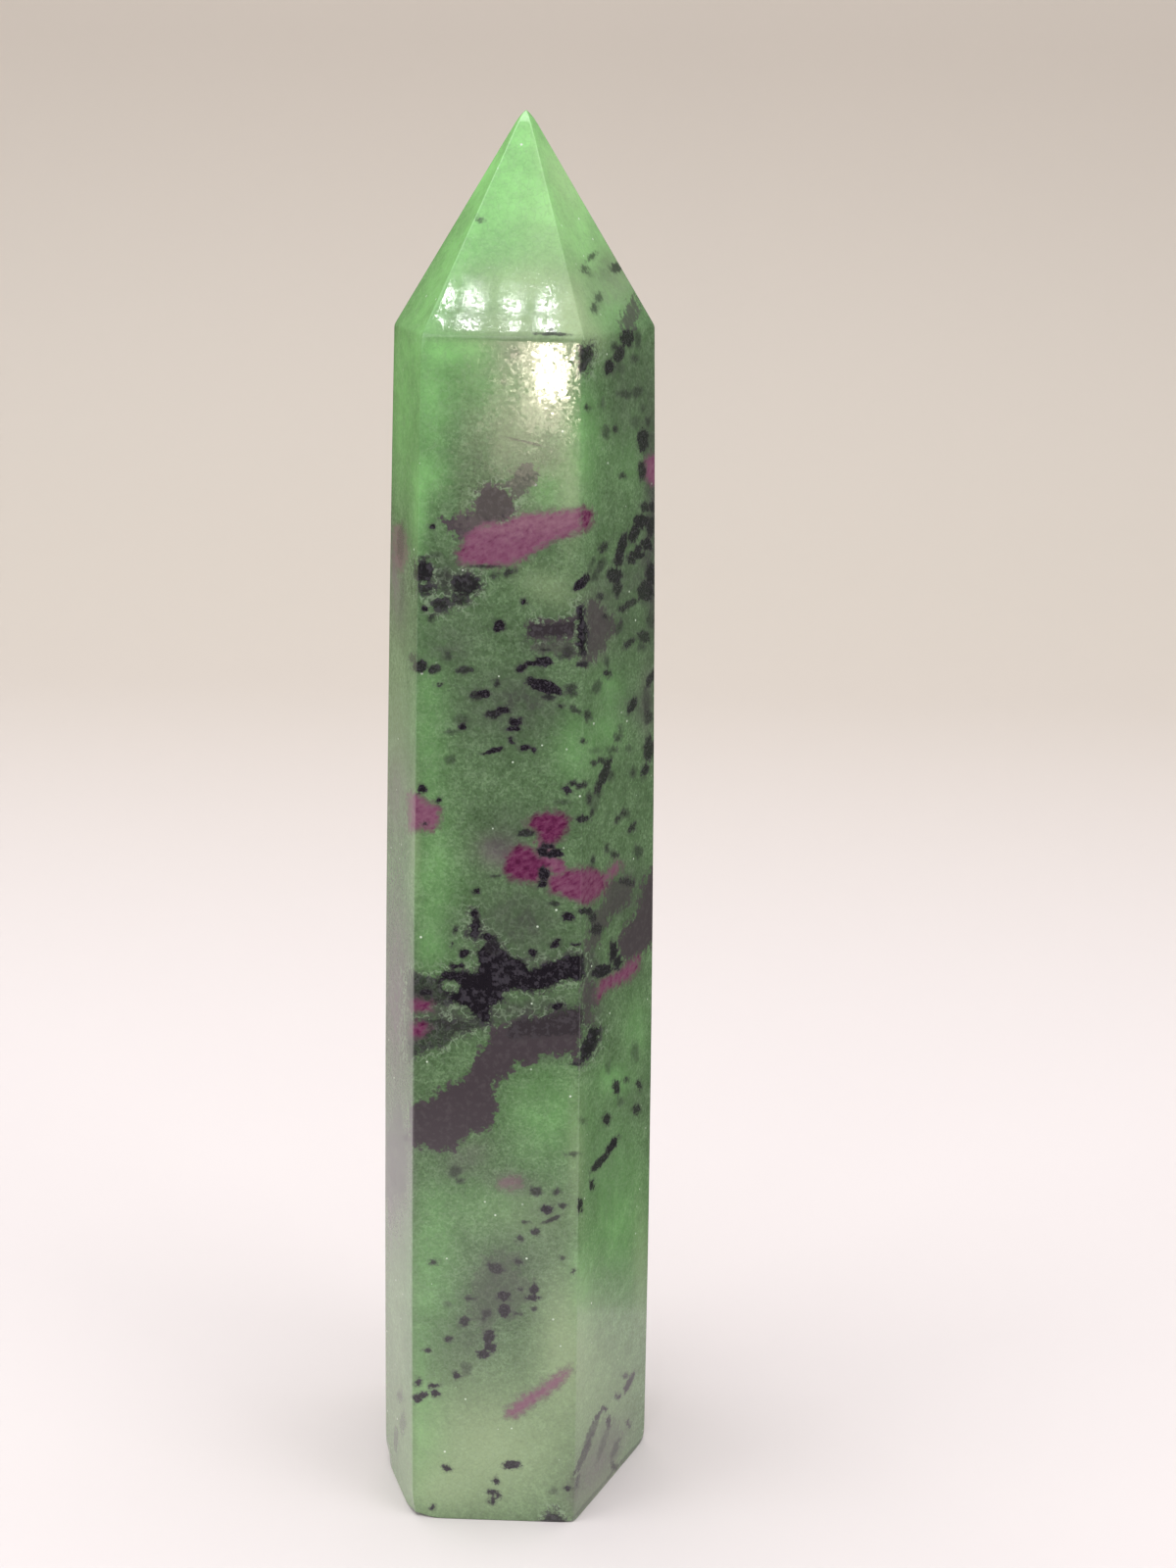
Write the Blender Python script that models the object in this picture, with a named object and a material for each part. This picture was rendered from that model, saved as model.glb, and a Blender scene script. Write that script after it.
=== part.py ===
"""A polished six-sided tower of ruby in zoisite, ground from one piece of stone.

The tower stands on its flat base, at the origin, and points up along +Z. Its widest face looks
along -Y. The column narrows as it rises, with a slight outward bow from grinding by hand, and
six facets close it in a point. Sizes are in millimetres and are turned to metres when used.
"""

import math

import bmesh
import bpy
from mathutils import Vector

MM = 0.001

# The six corners of the base, anticlockwise from the left as seen from above
BASE_CORNERS = {
    "left": (-14.1, -2.7),
    "front_left": (-10.0, -13.3),
    "front_right": (6.8, -13.3),
    "right": (14.1, 2.0),
    "back_right": (5.8, 13.3),
    "back_left": (-9.3, 12.4),
}

SHOULDER_HEIGHT = 120.9

# Where the six facets would meet if the point were not eased
TIP = (-0.1, -0.2, 140.6)

# Width at the shoulder, as a share of the width at the base
SHOULDER_SHARE = 0.856

# How far the sides stand out halfway up, as a share of the base's width
SIDE_BOW = 0.026

# Level courses that carry the bow up the column
COURSES = 8

# The polished edges: how much of each face the rounding takes, and its flats
EDGE_WIDTH = 0.35
EDGE_FLATS = 2

# The base's rim and the facets' edges turn by more than this, and the courses by less
SHARPEST_COURSE = math.radians(12)

STONE_COLOUR = (0.16, 0.30, 0.14, 1.0)
STONE_ROUGHNESS = 0.18


def clear_scene():
    """Remove everything that the scene starts with."""
    for item in list(bpy.data.objects):
        bpy.data.objects.remove(item, do_unlink=True)


def width_share(rise):
    """Width of the column as a share of the base's, at this share of the shoulder's height."""
    narrowing = (1 - SHOULDER_SHARE) * rise
    bow = 4 * SIDE_BOW * rise * (1 - rise)
    return 1 - narrowing + bow


def base_face(bm):
    """The flat base, as one six-sided face."""
    corners = [Vector((x, y, 0)) * MM for x, y in BASE_CORNERS.values()]
    return bm.faces.new([bm.verts.new(corner) for corner in corners])


def raise_course(bm, top, step):
    """Extrude the top face to the next level course, and give it that course's width."""
    rise = step / COURSES
    growth = width_share(rise) / width_share(rise - 1 / COURSES)
    raised = bmesh.ops.extrude_face_region(bm, geom=[top])
    if step > 1:
        bmesh.ops.delete(bm, geom=[top], context="FACES_ONLY")
    new_top = next(item for item in raised["geom"] if isinstance(item, bmesh.types.BMFace))
    for vert in new_top.verts:
        vert.co.xy *= growth
        vert.co.z = SHOULDER_HEIGHT * rise * MM
    return new_top


def tower_mesh():
    """The base is raised course by course, and the last course is drawn to the tip."""
    bm = bmesh.new()
    top = base_face(bm)
    for step in range(1, COURSES + 1):
        top = raise_course(bm, top, step)
    poked = bmesh.ops.poke(bm, faces=[top])
    poked["verts"][0].co = Vector(TIP) * MM
    bmesh.ops.recalc_face_normals(bm, faces=bm.faces)
    mesh = bpy.data.meshes.new("ruby_zoisite_tower")
    bm.to_mesh(mesh)
    bm.free()
    return mesh


def polished_stone():
    """Green zoisite with a glassy polish."""
    material = bpy.data.materials.new("polished_stone")
    material.use_nodes = True
    shader = material.node_tree.nodes["Principled BSDF"]
    shader.inputs["Base Color"].default_value = STONE_COLOUR
    shader.inputs["Roughness"].default_value = STONE_ROUGHNESS
    shader.inputs["Metallic"].default_value = 0.0
    return material


def build_tower():
    """The whole stone, with its edges eased as polishing leaves them."""
    mesh = tower_mesh()
    mesh.materials.append(polished_stone())
    mesh.shade_smooth()
    mesh.set_sharp_from_angle(angle=SHARPEST_COURSE)
    tower = bpy.data.objects.new("ruby_zoisite_tower", mesh)
    bpy.context.scene.collection.objects.link(tower)
    easing = tower.modifiers.new("eased_edges", "BEVEL")
    easing.width = EDGE_WIDTH * MM
    easing.segments = EDGE_FLATS
    easing.limit_method = "ANGLE"
    easing.angle_limit = SHARPEST_COURSE
    return tower


def main():
    clear_scene()
    build_tower()


main()
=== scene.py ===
import logging
import math
from dataclasses import dataclass
from enum import Enum

import bpy
import numpy as np
from mathutils import Matrix


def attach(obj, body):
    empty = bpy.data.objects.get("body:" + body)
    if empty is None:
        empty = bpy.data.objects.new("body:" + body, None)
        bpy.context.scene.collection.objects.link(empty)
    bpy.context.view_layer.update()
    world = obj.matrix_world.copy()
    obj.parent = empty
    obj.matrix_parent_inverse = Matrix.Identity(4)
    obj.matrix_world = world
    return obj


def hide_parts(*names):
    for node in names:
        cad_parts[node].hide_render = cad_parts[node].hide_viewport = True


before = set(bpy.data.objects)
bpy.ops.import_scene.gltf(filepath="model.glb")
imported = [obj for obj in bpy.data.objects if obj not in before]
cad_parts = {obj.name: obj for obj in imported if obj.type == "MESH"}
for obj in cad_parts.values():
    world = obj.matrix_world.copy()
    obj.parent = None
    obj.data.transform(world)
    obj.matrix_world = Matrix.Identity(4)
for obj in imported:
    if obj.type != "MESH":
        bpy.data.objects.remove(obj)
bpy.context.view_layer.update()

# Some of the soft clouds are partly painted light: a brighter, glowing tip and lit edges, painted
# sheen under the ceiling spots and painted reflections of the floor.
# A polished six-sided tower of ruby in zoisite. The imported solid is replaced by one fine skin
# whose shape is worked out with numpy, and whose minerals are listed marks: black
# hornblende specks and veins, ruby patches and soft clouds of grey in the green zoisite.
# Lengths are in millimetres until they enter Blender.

NODE = "ruby_zoisite_tower"
MM = 0.001

# Keeps a division clear of zero
TINY = 1e-6

# Past this share of straight up or down, a lamp's side is worked out from another axis
STEEP = 0.95

# How rough the noises are, and the span of their values that is stretched to 0 to 1
NOISE_ROUGHNESS = 0.6
NOISE_SPAN = (0.25, 0.75)

# The attributes that hold the nearest grain and the second nearest
GRAIN_NAMES = ("grain_a", "grain_b")

log = logging.getLogger(NODE)

Array = np.ndarray
Point2 = tuple[float, float]
Point3 = tuple[float, float, float]
Colour = tuple[float, float, float]
Socket = bpy.types.NodeSocket
Node = bpy.types.Node
Tree = bpy.types.NodeTree


def linked(name: str, data: bpy.types.ID) -> bpy.types.Object:
    """Put a mesh, a light or a camera into the scene.

    Args:
        name: The new object's name.
        data: The mesh, light or camera.

    Returns:
        The new object.
    """
    made = bpy.data.objects.new(name, data)
    bpy.context.scene.collection.objects.link(made)
    return made


def looking(place: Point3, right: Array, up: Array, forward: Array) -> Matrix:
    """Where a camera or a lamp stands, which looks down its own Z axis.

    Args:
        place: Its place in millimetres.
        right: Unit vector to its right.
        up: Unit vector out of its top.
        forward: Unit vector in which it looks.

    Returns:
        Its world matrix, in metres.
    """
    turn = Matrix([right.tolist(), up.tolist(), (-forward).tolist()]).transposed()
    return Matrix.LocRotScale([part * MM for part in place], turn.to_quaternion(), None)


def new_mesh(name: str, points: Array, faces: list) -> bpy.types.Mesh:
    """Make a mesh.

    Args:
        name: Its name.
        points: Its points in millimetres, one in each row.
        faces: The numbers of each face's corners.

    Returns:
        The mesh, in metres.
    """
    mesh = bpy.data.meshes.new(name)
    mesh.from_pydata((points * MM).tolist(), [], faces)
    return mesh


class Side(Enum):
    """The six sides of the column, in order round the stone."""

    LEFT = 0
    FRONT = 1
    RIGHT = 2
    BACK_RIGHT = 3
    BACK = 4
    BACK_LEFT = 5


SEEN_SIDES = (Side.LEFT, Side.FRONT, Side.RIGHT)


@dataclass(frozen=True)
class PhotoView:
    """The pinhole camera of the photograph, in the stone's frame.

    Marks are named by the pixel where they show, in an image 1200 wide and 1600 high. nearest
    is where the view starts, in millimetres from the camera.
    """

    place: Point3 = (11.5, -203.5, 139.8)
    focal: float = 2195.0
    pitch: float = 17.34
    heading: float = -1.39
    roll: float = 1.03
    centre: Point2 = (600.0, 800.0)
    long_side: float = 1600.0
    sensor: float = 36.0
    nearest: float = 10.0

    def axes(self) -> tuple[Array, Array, Array]:
        """Work out where the camera's right, up and forward point.

        Returns:
            Three unit vectors in the stone's frame.
        """
        pitch, heading, roll = np.radians([self.pitch, self.heading, self.roll])
        forward = np.array([
            np.sin(heading) * np.cos(pitch), np.cos(heading) * np.cos(pitch), -np.sin(pitch)
        ])
        level = np.array([np.cos(heading), -np.sin(heading), 0.0])
        upright = np.cross(level, forward)
        right = level * np.cos(roll) + upright * np.sin(roll)
        up = upright * np.cos(roll) - level * np.sin(roll)
        return right, up, forward

    def pixels(self, points: Array) -> Array:
        """Project points: the offset across and up is divided by the depth along the view.

        Args:
            points: An (n, 3) array in millimetres.

        Returns:
            An (n, 2) array of pixels, right and down.
        """
        right, up, forward = self.axes()
        offset = points - np.array(self.place)
        depth = offset @ forward
        across = self.centre[0] + self.focal * (offset @ right) / depth
        down = self.centre[1] - self.focal * (offset @ up) / depth
        return np.stack([across, down], axis=1)

    def ray(self, pixel: Point2) -> Array:
        """Turn a pixel into the unit direction in which the camera sees it.

        Args:
            pixel: A pixel, right and down.

        Returns:
            A unit vector in the stone's frame.
        """
        right, up, forward = self.axes()
        across = (pixel[0] - self.centre[0]) / self.focal
        rise = (self.centre[1] - pixel[1]) / self.focal
        direction = forward + right * across + up * rise
        return direction / np.linalg.norm(direction)

    def add_camera(self) -> None:
        """Add the matching Blender camera and make it the scene's own."""
        data = bpy.data.cameras.new("camera")
        data.sensor_width = self.sensor
        data.lens = self.focal / self.long_side * self.sensor
        data.clip_start = self.nearest * MM
        camera = linked("camera", data)
        camera.matrix_world = looking(self.place, *self.axes())
        bpy.context.scene.camera = camera


@dataclass(frozen=True)
class WornSpot:
    """A place where the polished stone is rubbed lower than its faces."""

    at: Point3
    reach: float
    depth: float


@dataclass(frozen=True)
class TowerForm:
    """The ground shape of the stone: a bowed six-sided column under a six-facet point.

    Its sizes are those of the solid that the skin stands for. Edges sharpen from edge_soft to
    shoulder_soft above sharpens_from. Each of the waves is a share of the waviness, a length
    and a phase.
    """

    corners: tuple[Point2, ...] = (
        (-14.1, -2.7), (-10.0, -13.3), (6.8, -13.3), (14.1, 2.0), (5.8, 13.3), (-9.3, 12.4)
    )
    shoulder: float = 120.9
    shoulder_share: float = 0.856
    bow: float = 0.026
    tip: Point3 = (-0.1, -0.2, 140.6)
    edge_soft: float = 0.045
    shoulder_soft: float = 0.035
    sharpens_from: float = 60.0
    inset: float = 0.05
    doming: float = 0.02
    waviness: float = 0.005
    waves: tuple[Point3, ...] = ((1.0, 21.0, 0.4), (0.35, 6.5, 1.9))
    low_centre: float = 12.0
    high_centre: float = 112.0
    newton_steps: int = 14
    worn: tuple[WornSpot, ...] = (
        WornSpot(tip, 0.7, 0.30),
        WornSpot((*corners[1], 0.0), 1.1, 0.42),
        WornSpot((*corners[0], 0.0), 1.0, 0.35),
        WornSpot((*corners[3], 0.0), 0.6, 0.12),
        WornSpot((*corners[2], 0.0), 0.5, 0.12),
        WornSpot((-8.6, -11.4, shoulder), 0.6, 0.12),
        WornSpot((*corners[5], 0.0), 0.8, 0.25),
        WornSpot((*corners[4], 0.0), 0.6, 0.15),
    )

    def share(self, height: Array) -> Array:
        """Width of the column at a height, as a share of the base's.

        The share falls in a straight line to the shoulder's, plus a parabola for the bow.

        Args:
            height: Heights in millimetres.

        Returns:
            The shares, in the same shape.
        """
        rise = height / self.shoulder
        return 1 - (1 - self.shoulder_share) * rise + 4 * self.bow * rise * (1 - rise)

    def side_lines(self) -> tuple[Array, Array, Array]:
        """Describe the base's six sides.

        Returns:
            Outward unit normals (6, 2), distances from the axis (6,) and lengths (6,).
        """
        start = np.array(self.corners)
        along = np.roll(start, -1, axis=0) - start
        length = np.linalg.norm(along, axis=1)
        normal = np.stack([along[:, 1], -along[:, 0]], axis=1) / length[:, None]
        return normal, np.einsum("ij,ij->i", normal, start), length

    def facet_planes(self) -> tuple[Array, Array]:
        """Describe the six facets, each through two shoulder corners and the tip.

        Returns:
            Outward unit normals (6, 3) and distances from the origin (6,).
        """
        level = np.array(self.corners) * self.shoulder_share
        ring = np.column_stack([level, np.full(len(level), self.shoulder)])
        tip = np.array(self.tip)
        normal = np.cross(np.roll(ring, -1, axis=0) - ring, tip - ring)
        normal /= np.linalg.norm(normal, axis=1)[:, None]
        return normal, normal @ tip

    def ripple(self, points: Array, length: float, phase: float) -> Array:
        """A slow, smooth unevenness: three crossed sine waves, from -1 to 1.

        Args:
            points: An (n, 3) array in millimetres.
            length: The wave's length in millimetres.
            phase: A shift that makes one ripple differ from the next.

        Returns:
            One value for each point.
        """
        scaled = points * (2 * math.pi / length)
        x, y, z = scaled[:, 0], scaled[:, 1], scaled[:, 2]
        first = np.sin(x + 0.7 * y + phase) * np.cos(0.9 * z - 0.4 * x + 2.1 * phase)
        second = np.sin(1.3 * z + 0.8 * y - 1.7 * phase)
        third = np.cos(1.9 * x - 1.1 * z + 0.6 * y + 3.3 * phase)
        return (first + second + third) / 3

    def outside(self, points: Array) -> Array:
        """How far points lie outside the polished surface, in millimetres.

        Each face gives its distance, and the soft maximum of all of them,
        s * log(sum(exp(distance / s))), rounds the edges with softness s. Faces swell a little
        in the middle, waver slowly, and are rubbed lower at the worn spots.

        Args:
            points: An (n, 3) array in millimetres.

        Returns:
            One distance for each point, positive outside.
        """
        normal, reach, length = self.side_lines()
        height = points[:, 2]
        share = self.share(height)[:, None]
        sides = points[:, :2] @ normal.T - reach * share
        start = np.array(self.corners)
        along = (np.roll(start, -1, axis=0) - start) / length[:, None]
        middle = np.einsum("ij,ij->i", along, start) + length / 2
        sway = (points[:, :2] @ along.T - middle * share) / (length / 2 * share)
        sides -= self.doming * np.clip(1 - sway**2, 0, 1)
        facet_normal, facet_reach = self.facet_planes()
        facets = points @ facet_normal.T - facet_reach
        base = -height[:, None]
        near_top = np.clip(
            (height - self.sharpens_from) / (self.shoulder - self.sharpens_from), 0, 1
        )
        soft = self.edge_soft + (self.shoulder_soft - self.edge_soft) * near_top**2
        every = np.concatenate([sides, facets, base], axis=1)
        highest = every.max(axis=1)
        spread = np.exp((every - highest[:, None]) / soft[:, None]).sum(axis=1)
        distance = highest + soft * np.log(spread) + self.inset
        for part, wave, phase in self.waves:
            distance += part * self.waviness * self.ripple(points, wave, phase)
        for spot in self.worn:
            away = ((points - np.array(spot.at)) ** 2).sum(axis=1)
            distance += spot.depth * np.exp(-away / (2 * spot.reach**2))
        return distance


def spaced(length: float, near: float, wide: float, zone: float, fine_steps: int = 4000) -> Array:
    """Places along a stretch, close together at both ends and wide apart between.

    The spacing grows smoothly from near to wide over the zone at each end. The places divide
    the integral of 1 / spacing into equal parts.

    Args:
        length: Length of the stretch.
        near: Spacing at the ends.
        wide: Spacing in the middle.
        zone: Reach of each end's close spacing.
        fine_steps: How many places the integral is summed over.

    Returns:
        Places from 0 to length, both included.
    """
    fine = np.linspace(0, length, fine_steps)
    inward = np.clip(np.minimum(fine, length - fine) / zone, 0, 1)
    gap = near + (wide - near) * inward**2 * (3 - 2 * inward)
    steps = np.concatenate([[0.0], np.cumsum(np.diff(fine) / ((gap[1:] + gap[:-1]) / 2))])
    count = int(np.ceil(steps[-1])) + 1
    return np.interp(np.linspace(0, steps[-1], count), steps, fine)


@dataclass
class SkinGrid:
    """The skin as a grid: columns run round the stone, and rows from base to tip.

    Each grid point starts as a guide on the sharp-edged form. It is then moved along the line
    from a centre on the axis until it meets the polished surface: from first_guess of the
    line, with the slope felt over the probe's length, and within guess_span.
    """

    form: TowerForm
    edge_gap: float = 0.13
    edge_zone: float = 1.3
    seen_gap: float = 0.40
    hidden_gap: float = 0.62
    row_gap: float = 0.40
    facet_row_share: float = 0.85
    base_rows: int = 12
    base_span: Point2 = (0.08, 0.93)
    rim_rows: int = 6
    rim_span: Point2 = (0.95, 0.995)
    first_guess: float = 0.99
    probe: float = 0.002
    least_slope: float = 0.2
    guess_span: Point2 = (0.5, 1.05)

    def columns(self) -> tuple[Array, Array]:
        """Place the columns round the base's outline.

        Returns:
            Points on the outline (m, 2), and the number of the side that each starts (m,).
        """
        start = np.array(self.form.corners)
        end = np.roll(start, -1, axis=0)
        length = self.form.side_lines()[2]
        outline, owner = [], []
        for side in Side:
            index = side.value
            wide = self.seen_gap if side in SEEN_SIDES else self.hidden_gap
            along = spaced(length[index], self.edge_gap, wide, self.edge_zone)[:-1]
            part = along[:, None] / length[index]
            outline.append(start[index] * (1 - part) + end[index] * part)
            owner.append(np.full(len(along), index))
        return np.concatenate(outline), np.concatenate(owner)

    def rows(self) -> tuple[Array, Array, Array]:
        """Place the rows up the profile, without the two poles.

        Returns:
            Widths as shares of the base's (k,), heights (k,), and how far each row is drawn
            in towards the tip (k,), from 0 to 1.
        """
        form = self.form
        base = np.concatenate([
            np.linspace(*self.base_span, self.base_rows), np.linspace(*self.rim_span, self.rim_rows)
        ])
        height = spaced(form.shoulder, self.edge_gap, self.row_gap, self.edge_zone)
        slant = form.tip[2] - form.shoulder
        facet_gap = self.row_gap * self.facet_row_share
        drawn = spaced(slant, self.edge_gap, facet_gap, self.edge_zone)[1:-1] / slant
        width = np.concatenate([base, form.share(height), form.shoulder_share * (1 - drawn)])
        level = np.concatenate([0 * base, height, form.shoulder + slant * drawn])
        pull = np.concatenate([0 * base, 0 * height, drawn])
        return width, level, pull

    def settle(self, centre: Array, guide: Array) -> Array:
        """Move guides along their lines until they lie on the polished surface.

        Newton's method on the share t of the line: t falls by the distance outside divided by
        the rate at which it grows along the line.

        Args:
            centre: Inner ends of the lines (n, 3).
            guide: Points on the sharp form (n, 3).

        Returns:
            Points on the polished surface (n, 3).
        """
        line = guide - centre
        reach = np.linalg.norm(line, axis=1)
        share = np.full(len(guide), self.first_guess)
        for _ in range(self.form.newton_steps):
            here = self.form.outside(centre + line * share[:, None])
            ahead = self.form.outside(centre + line * (share + self.probe / reach)[:, None])
            slope = np.maximum((ahead - here) / self.probe, self.least_slope) * reach
            share = np.clip(share - here / slope, *self.guess_span)
        return centre + line * share[:, None]

    def points(self) -> tuple[Array, Array, Array]:
        """Work out every point of the skin.

        Returns:
            Grid points (k, m, 3), the base pole (3,) and the tip pole (3,).
        """
        form = self.form
        outline = self.columns()[0]
        width, level, pull = self.rows()
        guide = np.zeros((len(width), len(outline), 3))
        guide[..., :2] = outline[None] * width[:, None, None]
        guide[..., :2] += np.array(form.tip[:2]) * pull[:, None, None]
        guide[..., 2] = level[:, None]
        centre = np.zeros_like(guide)
        centre[..., 2] = np.clip(level, form.low_centre, form.high_centre)[:, None]
        settled = self.settle(centre.reshape(-1, 3), guide.reshape(-1, 3)).reshape(guide.shape)
        poles = np.array([[0.0, 0.0, 0.0], form.tip])
        middles = np.array([[0.0, 0.0, form.low_centre], [0.0, 0.0, form.high_centre]])
        base_pole, tip_pole = self.settle(middles, poles)
        return settled, base_pole, tip_pole

    def faces(self, rows: int, columns: int) -> tuple[Array, Array]:
        """Join the grid: a quad for each cell, and a fan of triangles round each pole.

        Args:
            rows: Number of rows.
            columns: Number of columns.

        Returns:
            Quads (q, 4) and triangles (t, 3) as indices, facing outwards. The poles follow the
            grid's points: first the base's, then the tip's.
        """
        index = np.arange(rows * columns).reshape(rows, columns)
        beside = np.roll(index, -1, axis=1)
        quads = np.stack([index[:-1], beside[:-1], beside[1:], index[1:]], axis=-1)
        base_pole = np.full(columns, rows * columns)
        tip_pole = base_pole + 1
        low = np.stack([base_pole, beside[0], index[0]], axis=-1)
        high = np.stack([tip_pole, index[-1], beside[-1]], axis=-1)
        return quads.reshape(-1, 4), np.concatenate([low, high])


class Mineral(Enum):
    """What shows at the surface in the larger patches."""

    RUBY = "ruby"
    BLACK = "black"
    GREY = "grey"
    GREEN = "green"


class Tint(Enum):
    """Soft changes of the green zoisite, partly painted light: the lit tint is painted brightness
    where light falls and the painted glow of the tip, and the pale tint is partly paler green and
    partly painted sheen, edge glints and reflections of the floor.
    """

    # Painted light: brighter where the light falls and a glowing tip, with some lighter green
    LIT = "lit"
    # Partly paler green, partly painted sheen, painted edge glints and painted reflections of the
    # floor
    PALE = "pale"
    DUSK = "dusk"
    MAUVE = "mauve"


@dataclass(frozen=True)
class Speck:
    """A small dark grain, drawn as an ellipse where the photograph shows it.

    x, y, width and height are pixels, dark runs from 0, clear, to 1, black, and tilt is in
    degrees anticlockwise.
    """

    x: float
    y: float
    width: float
    height: float
    dark: float = 1.0
    tilt: float = 0.0


@dataclass(frozen=True)
class Cloud:
    """A soft tint with no edge, as a bell curve, in pixels like a speck."""

    x: float
    y: float
    width: float
    height: float
    amount: float = 1.0
    tilt: float = 0.0

    def strength(self, places: Array) -> Array:
        """Value of the bell curve, exp(-2 r^2), where r is 1 at half the width or height.

        Args:
            places: An (n, 2) array of pixels.

        Returns:
            One value for each place.
        """
        turn = math.radians(self.tilt)
        across, down = places[:, 0] - self.x, places[:, 1] - self.y
        along = (across * math.cos(turn) - down * math.sin(turn)) / (self.width / 2)
        beside = (across * math.sin(turn) + down * math.cos(turn)) / (self.height / 2)
        return self.amount * np.exp(-2 * (along**2 + beside**2))


@dataclass(frozen=True)
class Patch:
    """A larger body of one mineral, as a closed outline in pixels.

    strength is how strong its colour is, from 0 to 1.
    """

    strength: float
    outline: tuple[Point2, ...]

    def inside(self, places: Array) -> Array:
        """How far inside the outline places lie, negative outside.

        The nearest point of each edge gives the distance, and the even-odd rule the sign.

        Args:
            places: An (n, 2) array of pixels.

        Returns:
            One distance for each place, in pixels.
        """
        start = np.array(self.outline, float)
        edge = np.roll(start, -1, axis=0) - start
        nearest = np.full(len(places), np.inf)
        within = np.zeros(len(places), bool)
        for corner, way in zip(start, edge):
            offset = places - corner
            part = np.clip(offset @ way / (way @ way), 0, 1)
            away = offset - part[:, None] * way
            nearest = np.minimum(nearest, np.hypot(away[:, 0], away[:, 1]))
            starts_above = offset[:, 1] < 0
            ends_above = offset[:, 1] < way[1]
            turn = offset[:, 0] * way[1] - offset[:, 1] * way[0]
            within ^= (starts_above != ends_above) & ((turn < 0) == (way[1] > 0))
        return np.where(within, nearest, -nearest)


@dataclass(frozen=True)
class Lens:
    """A lens-shaped body that lies along the stone's layers, in millimetres.

    size holds half its lengths: along the layers' slope to the right, along their slope to the
    back, and through them.
    """

    strength: float
    at: Point3
    size: Point3

    def inside(self, points: Array) -> Array:
        """Roughly how far inside the lens points lie: k (1 - k) / |offset / size^2|.

        k is the length of offset / size, which is 1 on the surface of the lens.

        Args:
            points: An (n, 3) array in millimetres.

        Returns:
            One distance for each point, negative outside.
        """
        size = np.array(self.size)
        offset = (points - np.array(self.at)) @ LAYERS.T
        share = np.linalg.norm(offset / size, axis=1)
        slope = np.linalg.norm(offset / size**2, axis=1)
        return share * (1 - share) / np.maximum(slope, TINY)


def marks(kind: type, rows: tuple) -> tuple:
    """Make one mark of a kind from each row of its values."""
    return tuple(kind(*row) for row in rows)


def layer_axes(slope_right: float, slope_back: float) -> Array:
    """Axes of the stone's layers, which rise to the right and a little to the back.

    Args:
        slope_right: Rise for each millimetre to the right.
        slope_back: Rise for each millimetre to the back.

    Returns:
        A (3, 3) array whose rows point right along a layer, back along it, and through it.
    """
    right = np.array([1.0, 0.0, slope_right])
    through = np.array([-slope_right, -slope_back, 1.0])
    right /= np.linalg.norm(right)
    through /= np.linalg.norm(through)
    return np.stack([right, np.cross(through, right), through])


LAYERS = layer_axes(0.47, 0.20)
PIXELS_PER_MM = 10.0

# The pointed end, and the top of the sides
UPPER_SPECKS = marks(Speck, (
    (490, 225, 5, 4, .6), (487, 222, 4, 3, .3), (604, 262, 11, 5, .6, 45), (596, 275, 6, 7, .6),
    (602, 279, 5, 5, .3), (629, 273, 11, 10, .65), (611, 304, 6, 9, .55), (607, 314, 6, 10, .6),
    (564, 341, 34, 3, .7, -2), (564, 338, 5, 5, .6), (640, 345, 14, 17, .85),
    (651, 346, 7, 16, .5), (627, 353, 5, 7, .6), (631, 362, 10, 17, .8, -12),
    (622, 375, 11, 15, .9, -15), (635, 357, 6, 10, .4), (632, 375, 9, 9, .3), (648, 366, 6, 7, .5),
    (638, 402, 15, 8, .5), (651, 400, 8, 11, .5), (599.5, 416, 5, 5, .7), (614, 412, 5, 9, .4),
    (618, 441, 7, 12, .5), (627.5, 438.5, 4, 6, .7), (656, 449, 12, 25, .85),
    (649, 431, 9, 12, .35), (661, 430, 6, 9, .5), (635, 485.5, 5, 5, .7), (655, 481, 8, 18, .8),
    (656, 417, 5, 7, .4), (525, 361, 6, 8, .3), (514, 389, 6, 6, .25), (537, 451, 28, 2, .45, -14),
    (441, 537, 5, 5), (409, 556, 7, 34, .3),
))

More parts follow.
